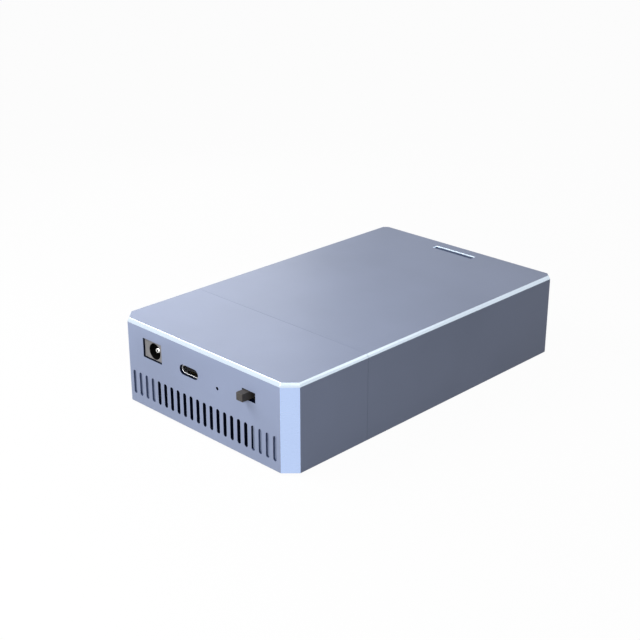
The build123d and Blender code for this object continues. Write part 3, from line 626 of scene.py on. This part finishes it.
def paint(piece, *finishes):
    """Gives a piece its materials, in slot order."""
    piece.data.materials.clear()
    for finish in finishes:
        piece.data.materials.append(finish)


def paint_node(node, finish):
    """Gives a CAD node that stays in view its material."""
    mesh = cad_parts[node].data
    if mesh.materials:
        mesh.materials[0] = finish
    else:
        mesh.materials.append(finish)


def split(piece, point, normal, test=lambda centre, normal: True):
    """Cuts the faces that pass a test in two where a plane crosses them."""
    edit(piece)
    pick_faces(piece, test)
    bpy.ops.mesh.bisect(plane_co=point, plane_no=normal)


def dress(node, body, slot, finish, width):
    """Puts a copy with one finish and softened edges where a CAD node stands."""
    piece = cad_copy(node)
    paint(piece, finish)
    soften(piece, width)
    fit_in(piece, body, slot, node)


def copies(piece, places):
    """Places a piece modelled round the origin and its copies, each with its own mesh."""
    made = [piece]
    while len(made) < len(places):
        twin = piece.copy()
        twin.data = piece.data.copy()
        bpy.context.collection.objects.link(twin)
        made.append(twin)
    for twin, place in zip(made, places):
        twin.location = place
        hold(twin)
        bpy.ops.object.transform_apply(location=True, rotation=False, scale=False)
    return made


def join(pieces, name):
    """Joins pieces into one object."""
    deselect()
    for piece in pieces:
        piece.select_set(True)
    bpy.context.view_layer.objects.active = pieces[0]
    bpy.ops.object.join()
    pieces[0].name = name
    return pieces[0]


def cylinder(name, radius, low, high, sides):
    """Upright cylinder round the Z axis."""
    deselect()
    bpy.ops.mesh.primitive_cylinder_add(
        vertices=sides, radius=radius, depth=high - low, location=(0.0, 0.0, (low + high) / 2)
    )
    piece = bpy.context.object
    piece.name = name
    bpy.ops.object.transform_apply(location=True, rotation=False, scale=False)
    return piece


def block(name, size, centre):
    """Box of a size at a place."""
    deselect()
    bpy.ops.mesh.primitive_cube_add(size=1.0, location=centre)
    piece = bpy.context.object
    piece.name = name
    piece.scale = size
    bpy.ops.object.transform_apply(location=True, rotation=False, scale=True)
    return piece


def cut_away(piece, cutter):
    """Takes a cutter's shape out of a piece."""
    cut = piece.modifiers.new("Cut", "BOOLEAN")
    cut.operation = "DIFFERENCE"
    cut.solver = "EXACT"
    cut.object = cutter
    apply_modifiers(piece)
    bpy.data.objects.remove(cutter)


def solids(node):
    """Lowest and highest corner of every separate solid in a CAD node."""
    probe = cad_copy(node)
    hold(probe)
    bpy.ops.mesh.separate(type="LOOSE")
    boxes = []
    for piece in list(bpy.context.selected_objects):
        corners = [Vector(corner) for corner in piece.bound_box]
        boxes.append(
            (
                Vector(min(corner[axis] for corner in corners) for axis in range(3)),
                Vector(max(corner[axis] for corner in corners) for axis in range(3)),
            )
        )
        bpy.data.objects.remove(piece)
    return sorted(boxes, key=lambda box: (box[0].x, box[0].y))


def stand_in(piece, node, body, slot):
    """Puts copies of a piece, modelled on the origin, where a node has its solids."""
    places = [((low.x + high.x) / 2, (low.y + high.y) / 2, low.z) for low, high in solids(node)]
    name = piece.name
    for index, twin in enumerate(copies(piece, places), 1):
        twin.name = f"{name}_{index}"
        fit_in(twin, body, slot, node)


def on_rim(centre, normal):
    """Whether a face is the bevel round the top or the upper wall of the thumb recess."""
    low = shell_high.z - (RIM_HEIGHT if on_side(centre) else RECESS_EDGE)
    return UPRIGHT < normal.z < NEARLY_LEVEL and centre.z > low


def on_side(centre):
    """Whether a place is within a wall's thickness of the outside of the box."""
    across = shell_high.x - abs(centre.x)
    along = min(centre.y - shell_low.y, cover_high.y - centre.y)
    return min(across, along) < WALL or across + along < CORNER + WALL


def in_recess(centre, normal):
    """Whether a face is the floor or the lower wall of the thumb recess."""
    depth = shell_high.z - centre.z
    return HAIR < depth < WALL and normal.z > UPRIGHT and not on_side(centre)


def on_corner(centre, normal):
    """Whether a face is one of the four upright corners outside."""
    middle = (shell_low + cover_high) / 2
    outward = (centre.x - middle.x) * normal.x > 0 and (centre.y - middle.y) * normal.y > 0
    slanted = min(abs(normal.x), abs(normal.y)) > HALF and abs(normal.z) < UPRIGHT
    return outward and slanted and abs(centre.x) > shell_high.x - CORNER


def in_opening(centre, normal):
    """Whether a face is the wall of a slot or opening in the front panel or the rear wall."""
    in_front = 0.0 < centre.y - shell_low.y < WALL
    in_rear = 0.0 < cover_high.y - centre.y < WALL
    within = abs(centre.x) < shell_high.x - CORNER and centre.z < shell_high.z - WALL
    return (in_front or in_rear) and within and abs(normal.y) < HALF


def in_pale_slot(centre, normal):
    """Whether a face is the wall of a shallow slot beside the open row, or of a rear slot."""
    beside = abs(centre.x) > OPEN_ROW_REACH and centre.z < ROW_TOP
    return in_opening(centre, normal) and (beside or centre.y > cover_low.y)


def at_slot_end(first, second):
    """Whether an edge is one of the cut corners at the ends of a slot."""
    straight = abs(first.x - second.x) + abs(first.z - second.z) < MERGE_DISTANCE
    return straight and first.z < ROW_TOP and stays_crisp(first, second)


def inside(centre, normal):
    """Whether a face is turned to the dark room inside the port housing."""
    along = shell_low.y + INNER_FACE < centre.y < cover_low.y
    upward = shell_low.z + SEAM_REACH < centre.z < shell_high.z - INNER_FACE
    across = abs(centre.x) < shell_high.x - INNER_FACE
    return along and upward and across and not on_corner(centre, normal)


def stays_crisp(first, second):
    """Whether an edge lies on the seam or round a slot or opening and isn't rounded."""
    seam = all(abs(end.y - cover_low.y) < SEAM_REACH for end in (first, second))
    walls = all(
        min(end.y - shell_low.y, cover_high.y - end.y) < PAST_WALL
        and abs(end.x) < shell_high.x - PAST_CORNER
        and end.z < shell_high.z - WALL
        for end in (first, second)
    )
    return seam or walls


class ENCLOSURE_OT_housing(Operator):
    """Front shell, sliding cover and base tray in anodised aluminium with bright cut edges"""

    bl_idname = "enclosure.housing"
    bl_label = "Housing"

    # Painted shade is darkest up to this far behind the front panel and fades into the skin by
    # the seam
    shade_reach = 18.0 * MM
    slot_rounding = 0.2 * MM
    tray_share = 0.9

    def execute(self, context):
        settings = context.scene.enclosure_housing
        shade_end = (shell_low.y + self.shade_reach, cover_low.y - WALL, settings.inner_shade)
        cut = cut_metal_finish("Cut_edge", settings.cut_edge)
        # Painted highlight on the four upright corners
        corner = cut_metal_finish("Corner_highlight", settings.corner_highlight)
        # Painted shade in the shallow slots, the rear slots and the recess's floor and lower wall
        slot = anodised_finish("Slot_wall_shade", settings.slot_shade, gloss=0.1)
        # Painted shade inside the port housing and on the walls of the front openings
        dark = anodised_finish("Inner_painted_shade", settings.skin, gloss=0.0, shade_end=shade_end)
        skin = anodised_finish("Anodised_skin", settings.skin)
        # Material slots and their faces; where two lines claim a face, the later one has it.
        # Slots 1 and 2 are painted shade, slot 4 a painted highlight.
        places = (
            (1, inside),
            (1, in_opening),
            (2, in_pale_slot),
            (2, in_recess),
            (3, on_rim),
            (4, on_corner),
        )
        for node, body in (("front_shell", "housing"), ("sliding_cover", "cover")):
            shell = cad_copy(node)
            paint(shell, skin, dark, slot, cut, corner)
            # Faces are cut at the recess edge: above it the recess wall is a bright cut edge,
            # below it the wall and floor get painted shade
            split(
                shell,
                (0.0, 0.0, shell_high.z - RECESS_EDGE),
                UP,
                lambda centre, normal: not on_side(centre),
            )
            edit(shell, "EDGE")
            pick_edges(shell, at_slot_end)
            bpy.ops.mesh.bevel(offset=self.slot_rounding, segments=2, affect="EDGES")
            for slot_number, test in places:
                give_faces(shell, slot_number, test)
            soften(shell, settings.edge_softness, keep=stays_crisp)
            fit_in(shell, body, "anodised_blue_grey", node)
        tray = cad_copy("base_tray")
        split(tray, (0.0, cover_low.y, 0.0), (0.0, 1.0, 0.0))
        tray_colour = [part * self.tray_share for part in settings.skin]
        paint(tray, anodised_finish("Tray_skin", tray_colour), dark)
        # Painted shade: the tray's upward faces inside the port housing get the inner painted
        # shade too
        give_faces(tray, 1, lambda centre, normal: normal.z > HALF and inside(centre, normal))
        soften(tray, settings.edge_softness)
        fit_in(tray, "housing", "tray_grey", "base_tray")
        return {"FINISHED"}


class ENCLOSURE_OT_feet(Operator):
    """Four rubber feet with a groove round the sole"""

    bl_idname = "enclosure.feet"
    bl_label = "Feet"

    corner = 1.5 * MM
    sole_edge = 0.4 * MM
    groove_inset = 1.1 * MM
    groove_width = 0.6 * MM

    def execute(self, context):
        settings = context.scene.enclosure_fittings
        low, high = solids("rubber_feet")[0]
        size = high - low
        width, length, thickness = size
        foot = block("rubber_foot", size, (0.0, 0.0, thickness / 2))
        edit(foot, "EDGE")
        pick_edges(foot, lambda a, b: abs(a.z - b.z) > thickness / 2)
        bpy.ops.mesh.bevel(offset=self.corner, segments=1, affect="EDGES")
        bpy.ops.mesh.select_mode(type="FACE")
        pick_faces(foot, lambda centre, normal: normal.z < -FACING)
        bpy.ops.mesh.bevel(offset=self.sole_edge, segments=3, affect="EDGES")
        bpy.ops.mesh.select_all(action="DESELECT")
        pick_faces(foot, lambda centre, normal: normal.z < -LEVEL)
        bpy.ops.mesh.inset(thickness=self.groove_inset)
        bpy.ops.mesh.inset(thickness=self.groove_width)
        bpy.ops.mesh.select_all(action="DESELECT")
        groove_x = width / 2 - self.sole_edge - self.groove_inset
        groove_y = length / 2 - self.sole_edge - self.groove_inset
        pick_faces(
            foot,
            lambda centre, normal: normal.z < -LEVEL
            and max(abs(centre.x), abs(centre.y)) > HAIR
            and abs(centre.x) < groove_x
            and abs(centre.y) < groove_y,
        )
        bpy.ops.mesh.extrude_region_move(
            TRANSFORM_OT_translate={"value": (0.0, 0.0, settings.foot_groove)}
        )
        bpy.ops.object.mode_set(mode="OBJECT")
        bpy.ops.object.shade_smooth_by_angle(angle=SMOOTH_ANGLE)
        paint(foot, rubber_finish("Foot_rubber", settings.rubber))
        stand_in(foot, "rubber_feet", "housing", "black_rubber")
        return {"FINISHED"}


class ENCLOSURE_OT_fasteners(Operator):
    """Countersunk tray screws, pan-head board screws and the board's standoffs"""

    bl_idname = "enclosure.fasteners"
    bl_label = "Fasteners"

    tray_head_radius = 2.5 * MM
    tray_shank_radius = 1.25 * MM
    tray_screw_edge = 0.05 * MM
    socket_radius = 1.15 * MM
    socket_depth = 0.9 * MM
    board_head_radius = 1.9 * MM
    board_head_height = 1.3 * MM
    board_head_rounding = 0.78 * MM
    board_shank_radius = 0.8 * MM
    slot_length = 2.2 * MM
    slot_width = 0.45 * MM
    slot_depth = 0.7 * MM

    def execute(self, context):
        sides = context.scene.enclosure_board.sides
        steel = plated_finish("Zinc_plated_steel", (0.55, 0.56, 0.58), roughness=0.3)
        brass = plated_finish("Turned_brass", (0.72, 0.55, 0.26), roughness=0.28)
        self.tray_screws(sides, steel)
        self.board_screws(sides, steel)
        paint_node("board_standoffs", brass)
        return {"FINISHED"}

    def tray_screws(self, sides, steel):
        """Countersunk screws with a hexagon socket."""
        low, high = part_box("tray_screws")
        cone_top = self.tray_head_radius - self.tray_shank_radius
        screw = cylinder("tray_screw", self.tray_head_radius, 0.0, cone_top, sides)
        edit(screw)
        pick_faces(screw, lambda centre, normal: normal.z > FACING)
        share = self.tray_shank_radius / self.tray_head_radius
        bpy.ops.transform.resize(value=(share, share, 1.0))
        bpy.ops.mesh.extrude_region_move(
            TRANSFORM_OT_translate={"value": (0.0, 0.0, high.z - low.z - cone_top)}
        )
        key = cylinder("key", self.socket_radius, -self.socket_depth, self.socket_depth, 6)
        cut_away(screw, key)
        soften(screw, self.tray_screw_edge)
        paint(screw, steel)
        stand_in(screw, "tray_screws", "housing", "zinc_steel")

    def board_screws(self, sides, steel):
        """Pan-head screws with a cross recess."""
        low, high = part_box("board_screws")
        seat = high.z - low.z - self.board_head_height
        screw = cylinder("board_screw", self.board_shank_radius, 0.0, seat, sides)
        head = cylinder(
            "board_screw_head", self.board_head_radius, seat, seat + self.board_head_height, sides
        )
        edit(head)
        pick_faces(head, lambda centre, normal: normal.z > FACING)
        bpy.ops.mesh.bevel(offset=self.board_head_rounding, segments=4, affect="EDGES")
        for size in (
            (self.slot_length, self.slot_width, 2 * self.slot_depth),
            (self.slot_width, self.slot_length, 2 * self.slot_depth),
        ):
            cut_away(head, block("cross", size, (0.0, 0.0, seat + self.board_head_height)))
        screw = join([screw, head], "board_screw")
        hold(screw)
        bpy.ops.object.shade_smooth_by_angle(angle=SMOOTH_ANGLE)
        paint(screw, steel)
        stand_in(screw, "board_screws", "housing", "zinc_steel")


class ENCLOSURE_OT_power_inlet(Operator):
    """Moulded inlet with a bright hollow pin and its contacts"""

    bl_idname = "enclosure.power_inlet"
    bl_label = "Power inlet"

    bore_reach = 3.05 * MM
    bore_depth = 9.7 * MM
    hollow_reach = 0.5 * MM
    front_face = 0.02 * MM
    housing_edge = 0.06 * MM
    pin_edge = 0.05 * MM

    def execute(self, context):
        settings = context.scene.enclosure_fittings
        housing = cad_copy("dc_jack_housing")
        grey = moulded_finish("Inlet_grey", settings.jack_grey, roughness=0.55)
        # Painted shade: near black in the inlet's bore and in the pin's hollow stands for the
        # shade inside them
        black = moulded_finish("Inlet_bore_shade", (0.006, 0.006, 0.006), roughness=0.7, gloss=0.0)
        paint(housing, grey, black)
        low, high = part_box("dc_jack_housing")
        pin_low, pin_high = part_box("dc_jack_pin")
        axis = (pin_low + pin_high) / 2
        give_faces(
            housing,
            1,
            lambda centre, normal: self.front_face < centre.y - low.y < self.bore_depth
            and math.hypot(centre.x - axis.x, centre.z - axis.z) < self.bore_reach,
        )
        soften(housing, self.housing_edge)
        fit_in(housing, "housing", "jack_grey", "dc_jack_housing")
        nickel = plated_finish("Inlet_nickel", (0.82, 0.82, 0.80), roughness=0.16)
        pin = cad_copy("dc_jack_pin")
        paint(pin, nickel, black)
        # Painted shade in the pin's hollow
        give_faces(
            pin,
            1,
            lambda centre, normal: centre.y > pin_low.y + self.front_face
            and math.hypot(centre.x - axis.x, centre.z - axis.z) < self.hollow_reach,
        )
        soften(pin, self.pin_edge)
        fit_in(pin, "housing", "nickel", "dc_jack_pin")
        paint_node("dc_jack_contacts", nickel)
        return {"FINISHED"}


class ENCLOSURE_OT_data_port(Operator):
    """Drawn steel shell, black tongue and gold contacts of the data port"""

    bl_idname = "enclosure.data_port"
    bl_label = "Data port"

    shell_edge = 0.08 * MM
    tongue_edge = 0.06 * MM

    def execute(self, context):
        steel = plated_finish("Drawn_steel", (0.86, 0.87, 0.89), roughness=0.16)
        black = moulded_finish("Tongue_black", (0.012, 0.012, 0.013), roughness=0.4, gloss=0.1)
        gold = plated_finish("Port_gold", (0.86, 0.62, 0.24), roughness=0.22)
        dress("usb_c_shell", "housing", "steel_shell", steel, self.shell_edge)
        dress("usb_c_tongue", "housing", "tongue_black", black, self.tongue_edge)
        paint_node("usb_c_contacts", gold)
        return {"FINISHED"}


class ENCLOSURE_OT_power_switch(Operator):
    """Sliding switch: knob, steel frame, moulded base, wiper and terminals"""

    bl_idname = "enclosure.power_switch"
    bl_label = "Power switch"

    knob_edge = 0.1 * MM

    def execute(self, context):
        settings = context.scene.enclosure_fittings
        grey = moulded_finish("Knob_grey", settings.knob_grey, roughness=0.5, gloss=0.15)
        # Painted shade: the frame's steel is made dark grey to stand for the shade in the opening
        # beside the knob
        steel = plated_finish("Switch_frame_shaded_steel", (0.20, 0.20, 0.21), roughness=0.4)
        brown = moulded_finish("Switch_base_brown", (0.03, 0.018, 0.01), gloss=0.1)
        gold = plated_finish("Wiper_gold", (0.80, 0.58, 0.26), roughness=0.25)
        tin = plated_finish("Terminal_tin", (0.70, 0.70, 0.69), roughness=0.35)
        dress("switch_knob", "knob", "knob_grey", grey, self.knob_edge)
        paint_node("switch_frame", steel)
        paint_node("switch_base", brown)
        paint_node("switch_wiper", gold)
        paint_node("switch_terminals", tin)
        return {"FINISHED"}


class ENCLOSURE_OT_board(Operator):
    """Circuit board with its chips, heat sink, coils, cans and rows of small parts"""

    bl_idname = "enclosure.board"
    bl_label = "Board"

    foot_height = 1.0 * MM
    foot_corner = 1.2 * MM
    can_inset = 0.15 * MM
    can_edge = 0.4 * MM
    groove_height = 1.9 * MM
    groove_half = 0.35 * MM
    groove_share = 0.94
    print_share = 0.4
    capacitor_cap = 0.45 * MM
    resistor_cap = 0.22 * MM
    small_edge = 0.04 * MM

    def execute(self, context):
        settings = context.scene.enclosure_board
        paint_node("main_board", board_finish("Board_lacquer", settings.mask))
        for node in ("bridge_chip", "flash_chip", "regulators"):
            paint_node(node, chip_finish(f"{node}_moulding"))
        nickel = plated_finish("Crystal_can", (0.72, 0.72, 0.70), roughness=0.22)
        ferrite = moulded_finish("Ferrite", (0.055, 0.055, 0.058), roughness=0.7, grains=1500.0)
        lens = moulded_finish("Indicator_lens", (0.03, 0.03, 0.028), roughness=0.25)
        paint_node("thermal_tape", rubber_finish("Thermal_pad", (0.30, 0.33, 0.36)))
        paint_node("heat_sink", anodised_finish("Sink_black", (0.02, 0.02, 0.022)))
        paint_node("crystal", nickel)
        paint_node("power_inductors", ferrite)
        paint_node("status_led", lens)
        self.cans(settings.sides)
        tin = plated_finish("Solder_tin", (0.66, 0.66, 0.65), roughness=0.35)
        ceramic = moulded_finish("Fired_ceramic", (0.30, 0.20, 0.11), roughness=0.5)
        film = moulded_finish("Resistor_film", (0.016, 0.016, 0.018), roughness=0.4)
        self.capped("ceramic_capacitor", "ceramic_tan", self.capacitor_cap, ceramic, tin)
        self.capped("chip_resistor", "resistor_black", self.resistor_cap, film, tin)
        return {"FINISHED"}

    def capped(self, name, slot, cap, body_finish, tin):
        """Small parts with a body between two tinned caps that stand a little proud."""
        node = f"{name}s"
        low, high = solids(node)[0]
        size = high - low
        along = 0 if size.x > size.y else 1
        reach = size[along] / 2 - cap
        axis = Vector((1.0 - along, float(along), 0.0))
        piece = block(name, size, (0.0, 0.0, size.z / 2))
        for side in (-1, 1):
            split(piece, axis * side * reach, axis)
        paint(piece, body_finish, tin)
        give_faces(piece, 1, lambda centre, normal: abs(centre[along]) > reach)
        edit(piece)
        pick_faces(piece, lambda centre, normal: abs(centre[along]) < reach)
        bpy.ops.mesh.extrude_region_shrink_fatten(
            TRANSFORM_OT_shrink_fatten={"value": -self.small_edge}
        )
        soften(piece, self.small_edge, segments=1)
        stand_in(piece, node, "housing", slot)

    def cans(self, sides):
        """Capacitors: moulded foot with two cut corners and a can with a rolled groove."""
        low, high = solids("bulk_capacitors")[0]
        foot_size = high.x - low.x
        radius = foot_size / 2 - self.can_inset
        can = cylinder("can", radius, self.foot_height, high.z - low.z, sides)
        for height in (-self.groove_half, 0.0, self.groove_half):
            split(can, (0.0, 0.0, self.groove_height + height), UP)
        edit(can, "EDGE")
        pick_edges(
            can,
            lambda *ends: all(abs(end.z - self.groove_height) < MERGE_DISTANCE for end in ends),
        )
        bpy.ops.transform.resize(value=(self.groove_share, self.groove_share, 1.0))
        bpy.ops.mesh.select_mode(type="FACE")
        bpy.ops.mesh.select_all(action="DESELECT")
        pick_faces(can, lambda centre, normal: normal.z > LEVEL)
        bpy.ops.mesh.bevel(offset=self.can_edge, segments=4, affect="EDGES")
        print_start = -self.print_share * radius
        split(can, (print_start, 0.0, 0.0), (1.0, 0.0, 0.0))
        bpy.ops.object.mode_set(mode="OBJECT")
        paint(
            can,
            plated_finish("Capacitor_can", (0.68, 0.69, 0.70), roughness=0.26, grains=1400.0),
            moulded_finish("Capacitor_print", (0.02, 0.02, 0.03), roughness=0.4),
        )
        give_faces(can, 1, lambda centre, normal: normal.z > LEVEL and centre.x < print_start)
        moulded = block(
            "can_foot",
            (foot_size, foot_size, self.foot_height),
            (0.0, 0.0, self.foot_height / 2),
        )
        edit(moulded, "EDGE")
        pick_edges(
            moulded,
            lambda a, b: abs(a.z - b.z) > self.foot_height / 2 and max(a.y, b.y) < 0.0,
        )
        bpy.ops.mesh.bevel(offset=self.foot_corner, segments=1, affect="EDGES")
        deselect()
        paint(moulded, moulded_finish("Capacitor_foot", (0.02, 0.02, 0.02)))
        capacitor = join([can, moulded], "bulk_capacitor")
        hold(capacitor)
        bpy.ops.object.shade_smooth_by_angle(angle=SMOOTH_ANGLE)
        stand_in(capacitor, "bulk_capacitors", "housing", "can_silver")


class ENCLOSURE_OT_drive_interface(Operator):
    """Receptacle for the drive, its contacts and the springs that hold the cover"""

    bl_idname = "enclosure.drive_interface"
    bl_label = "Drive interface"

    receptacle_edge = 0.08 * MM

    def execute(self, context):
        black = moulded_finish("Receptacle_black", (0.02, 0.02, 0.021), roughness=0.45)
        gold = plated_finish("Contact_gold", (0.86, 0.62, 0.24), roughness=0.22)
        steel = plated_finish("Spring_steel", (0.34, 0.345, 0.36), roughness=0.3)
        dress("drive_receptacle", "housing", "tongue_black", black, self.receptacle_edge)
        paint_node("drive_contacts", gold)
        paint_node("cover_springs", steel)
        return {"FINISHED"}


class ENCLOSURE_OT_stage(Operator):
    """Pale floor, soft lamps, white surround and the camera"""

    bl_idname = "enclosure.stage"
    bl_label = "Stage"

    # Name, place, length of a side, power
    lamps = (
        ("Key", (-0.16, -0.28, 0.34), 0.20, 0.80),
        ("Near_left", (-0.15, -0.12, 0.185), 0.12, 0.20),
        ("Sheen", (-0.25, 0.15, 0.16), 0.12, 0.127),
        ("Front", (0.06, -0.30, 0.10), 0.10, 0.33),
        ("Side", (0.38, -0.24, 0.12), 0.20, 0.10),
        ("Near_right", (0.21, -0.17, 0.26), 0.12, 0.12),
        ("Rim_glint", (0.178, 0.072, 0.095), 0.10, 0.012),
    )
    aim = Vector((0.0, -0.03, 0.015))

    # The camera's axes and place, from the photograph's perspective
    back = Vector((0.6468, -0.6601, 0.3819))
    right = Vector((0.7142, 0.6999, 0.0))
    offset = Vector((0.0, 0.0015, 0.001))
    distance = 0.47197
    shift_right = -0.00927
    shift_up = 0.01962
    nearest = 0.01
    film_width = 36.0
    floor_size = 8.0
    floor_white = 0.97

    def execute(self, context):
        settings = context.scene.enclosure_studio
        self.floor()
        self.room(context.scene, settings.room_level)
        for name, place, size, power in self.lamps:
            self.lamp(name, Vector(place), size, power * settings.lamp_level)
        self.camera(context.scene, settings.lens)
        context.scene.view_settings.view_transform = "Standard"
        return {"FINISHED"}

    def floor(self):
        """Floor that looks white to the eye and in reflections, and keeps a faint shadow."""
        deselect()
        bpy.ops.mesh.primitive_plane_add(size=self.floor_size, location=(0.0, 0.0, 0.0))
        floor = bpy.context.object
        floor.name = "studio_floor"
        paper = new_finish("Floor_paper")
        seen = self.background_rays(paper)
        tone = paper.noise(paper.place(), scale=40.0)
        pale = paper.mix(tone, (0.86, 0.86, 0.87, 1.0), (0.90, 0.90, 0.91, 1.0))
        dim = paper.mix(tone, (0.25, 0.25, 0.26, 1.0), (0.28, 0.28, 0.29, 1.0))
        matt = paper.node("ShaderNodeBsdfDiffuse", {}, {"Color": paper.mix(seen, dim, pale)})
        white = paper.node("ShaderNodeEmission", {}, {"Color": WHITE, "Strength": 1.0})
        share = seen * self.floor_white
        mixed = paper.node("ShaderNodeMixShader", {}, {0: share, 1: matt, 2: white})
        paper.node("ShaderNodeOutputMaterial", {}, {"Surface": mixed})
        paint(floor, paper.owner)

    def background_rays(self, finish):
        """1 for rays from the camera and for mirrored and refracted ones, else 0."""
        camera = finish.node("ShaderNodeLightPath", output="Is Camera Ray")
        glossy = finish.node("ShaderNodeLightPath", output="Is Glossy Ray")
        through = finish.node("ShaderNodeLightPath", output="Is Transmission Ray")
        return finish.sum("MINIMUM", camera + glossy + through, 1.0)

    def room(self, scene, level):
        """World that is white where it is seen and gives an even, low light."""
        room = Finish(bpy.data.worlds.new("Studio_room"))
        scene.world = room.owner
        seen = self.background_rays(room)
        strength = seen * (1.0 - level) + level
        glow = room.node("ShaderNodeBackground", {}, {"Color": WHITE, "Strength": strength})
        room.node("ShaderNodeOutputWorld", {}, {"Surface": glow})

    def lamp(self, name, place, size, power):
        """Soft square lamp that points at the object."""
        deselect()
        bpy.ops.object.light_add(type="AREA", location=place)
        lamp = bpy.context.object
        lamp.name = name
        lamp.rotation_euler = (self.aim - place).to_track_quat("-Z", "Y").to_euler()
        lamp.data.size = size
        lamp.data.energy = power
        lamp.visible_camera = False

    def camera(self, scene, lens):
        """Camera at the height and angle of a look over the near front corner."""
        deselect()
        bpy.ops.object.camera_add()
        camera = bpy.context.object
        camera.name = "Camera"
        up = self.back.cross(self.right)
        place = (
            self.back * self.distance
            + self.right * self.shift_right
            + up * self.shift_up
            + self.offset
        )
        turn = Matrix((self.right, up, self.back)).transposed().to_4x4()
        camera.matrix_world = Matrix.Translation(place) @ turn
        camera.data.sensor_width = self.film_width
        camera.data.lens = lens
        camera.data.clip_start = self.nearest
        camera.data.dof.use_dof = False
        scene.camera = camera


class ENCLOSURE_PT_panel(Panel):
    """Lists the enclosure's steps and settings"""

    bl_label = "Drive Enclosure"
    bl_idname = "ENCLOSURE_PT_panel"
    bl_space_type = "VIEW_3D"
    bl_region_type = "UI"
    bl_category = "Enclosure"

    def draw(self, context):
        layout = self.layout
        scene = context.scene
        for group, holder in GROUPS.items():
            box = layout.box()
            for name in group.__annotations__:
                box.prop(getattr(scene, holder), name)
        for operator in STEPS:
            layout.operator(operator.bl_idname)


GROUPS = {
    HousingSettings: "enclosure_housing",
    FittingSettings: "enclosure_fittings",
    BoardSettings: "enclosure_board",
    StudioSettings: "enclosure_studio",
}
STEPS = (
    ENCLOSURE_OT_housing,
    ENCLOSURE_OT_feet,
    ENCLOSURE_OT_fasteners,
    ENCLOSURE_OT_power_inlet,
    ENCLOSURE_OT_data_port,
    ENCLOSURE_OT_power_switch,
    ENCLOSURE_OT_board,
    ENCLOSURE_OT_drive_interface,
    ENCLOSURE_OT_stage,
)


def register():
    """Adds the classes and the settings to Blender."""
    for part in (*GROUPS, *STEPS, ENCLOSURE_PT_panel):
        bpy.utils.register_class(part)
    for group, name in GROUPS.items():
        setattr(bpy.types.Scene, name, PointerProperty(type=group))


def unregister():
    """Takes the settings and the classes out of Blender."""
    for name in GROUPS.values():
        delattr(bpy.types.Scene, name)
    for part in (ENCLOSURE_PT_panel, *reversed(STEPS), *reversed(GROUPS)):
        bpy.utils.unregister_class(part)


def main():
    """Builds the whole scene."""
    register()
    bpy.ops.enclosure.housing()
    bpy.ops.enclosure.feet()
    bpy.ops.enclosure.fasteners()
    bpy.ops.enclosure.power_inlet()
    bpy.ops.enclosure.data_port()
    bpy.ops.enclosure.power_switch()
    bpy.ops.enclosure.board()
    bpy.ops.enclosure.drive_interface()
    bpy.ops.enclosure.stage()


if __name__ == "__main__":
    main()
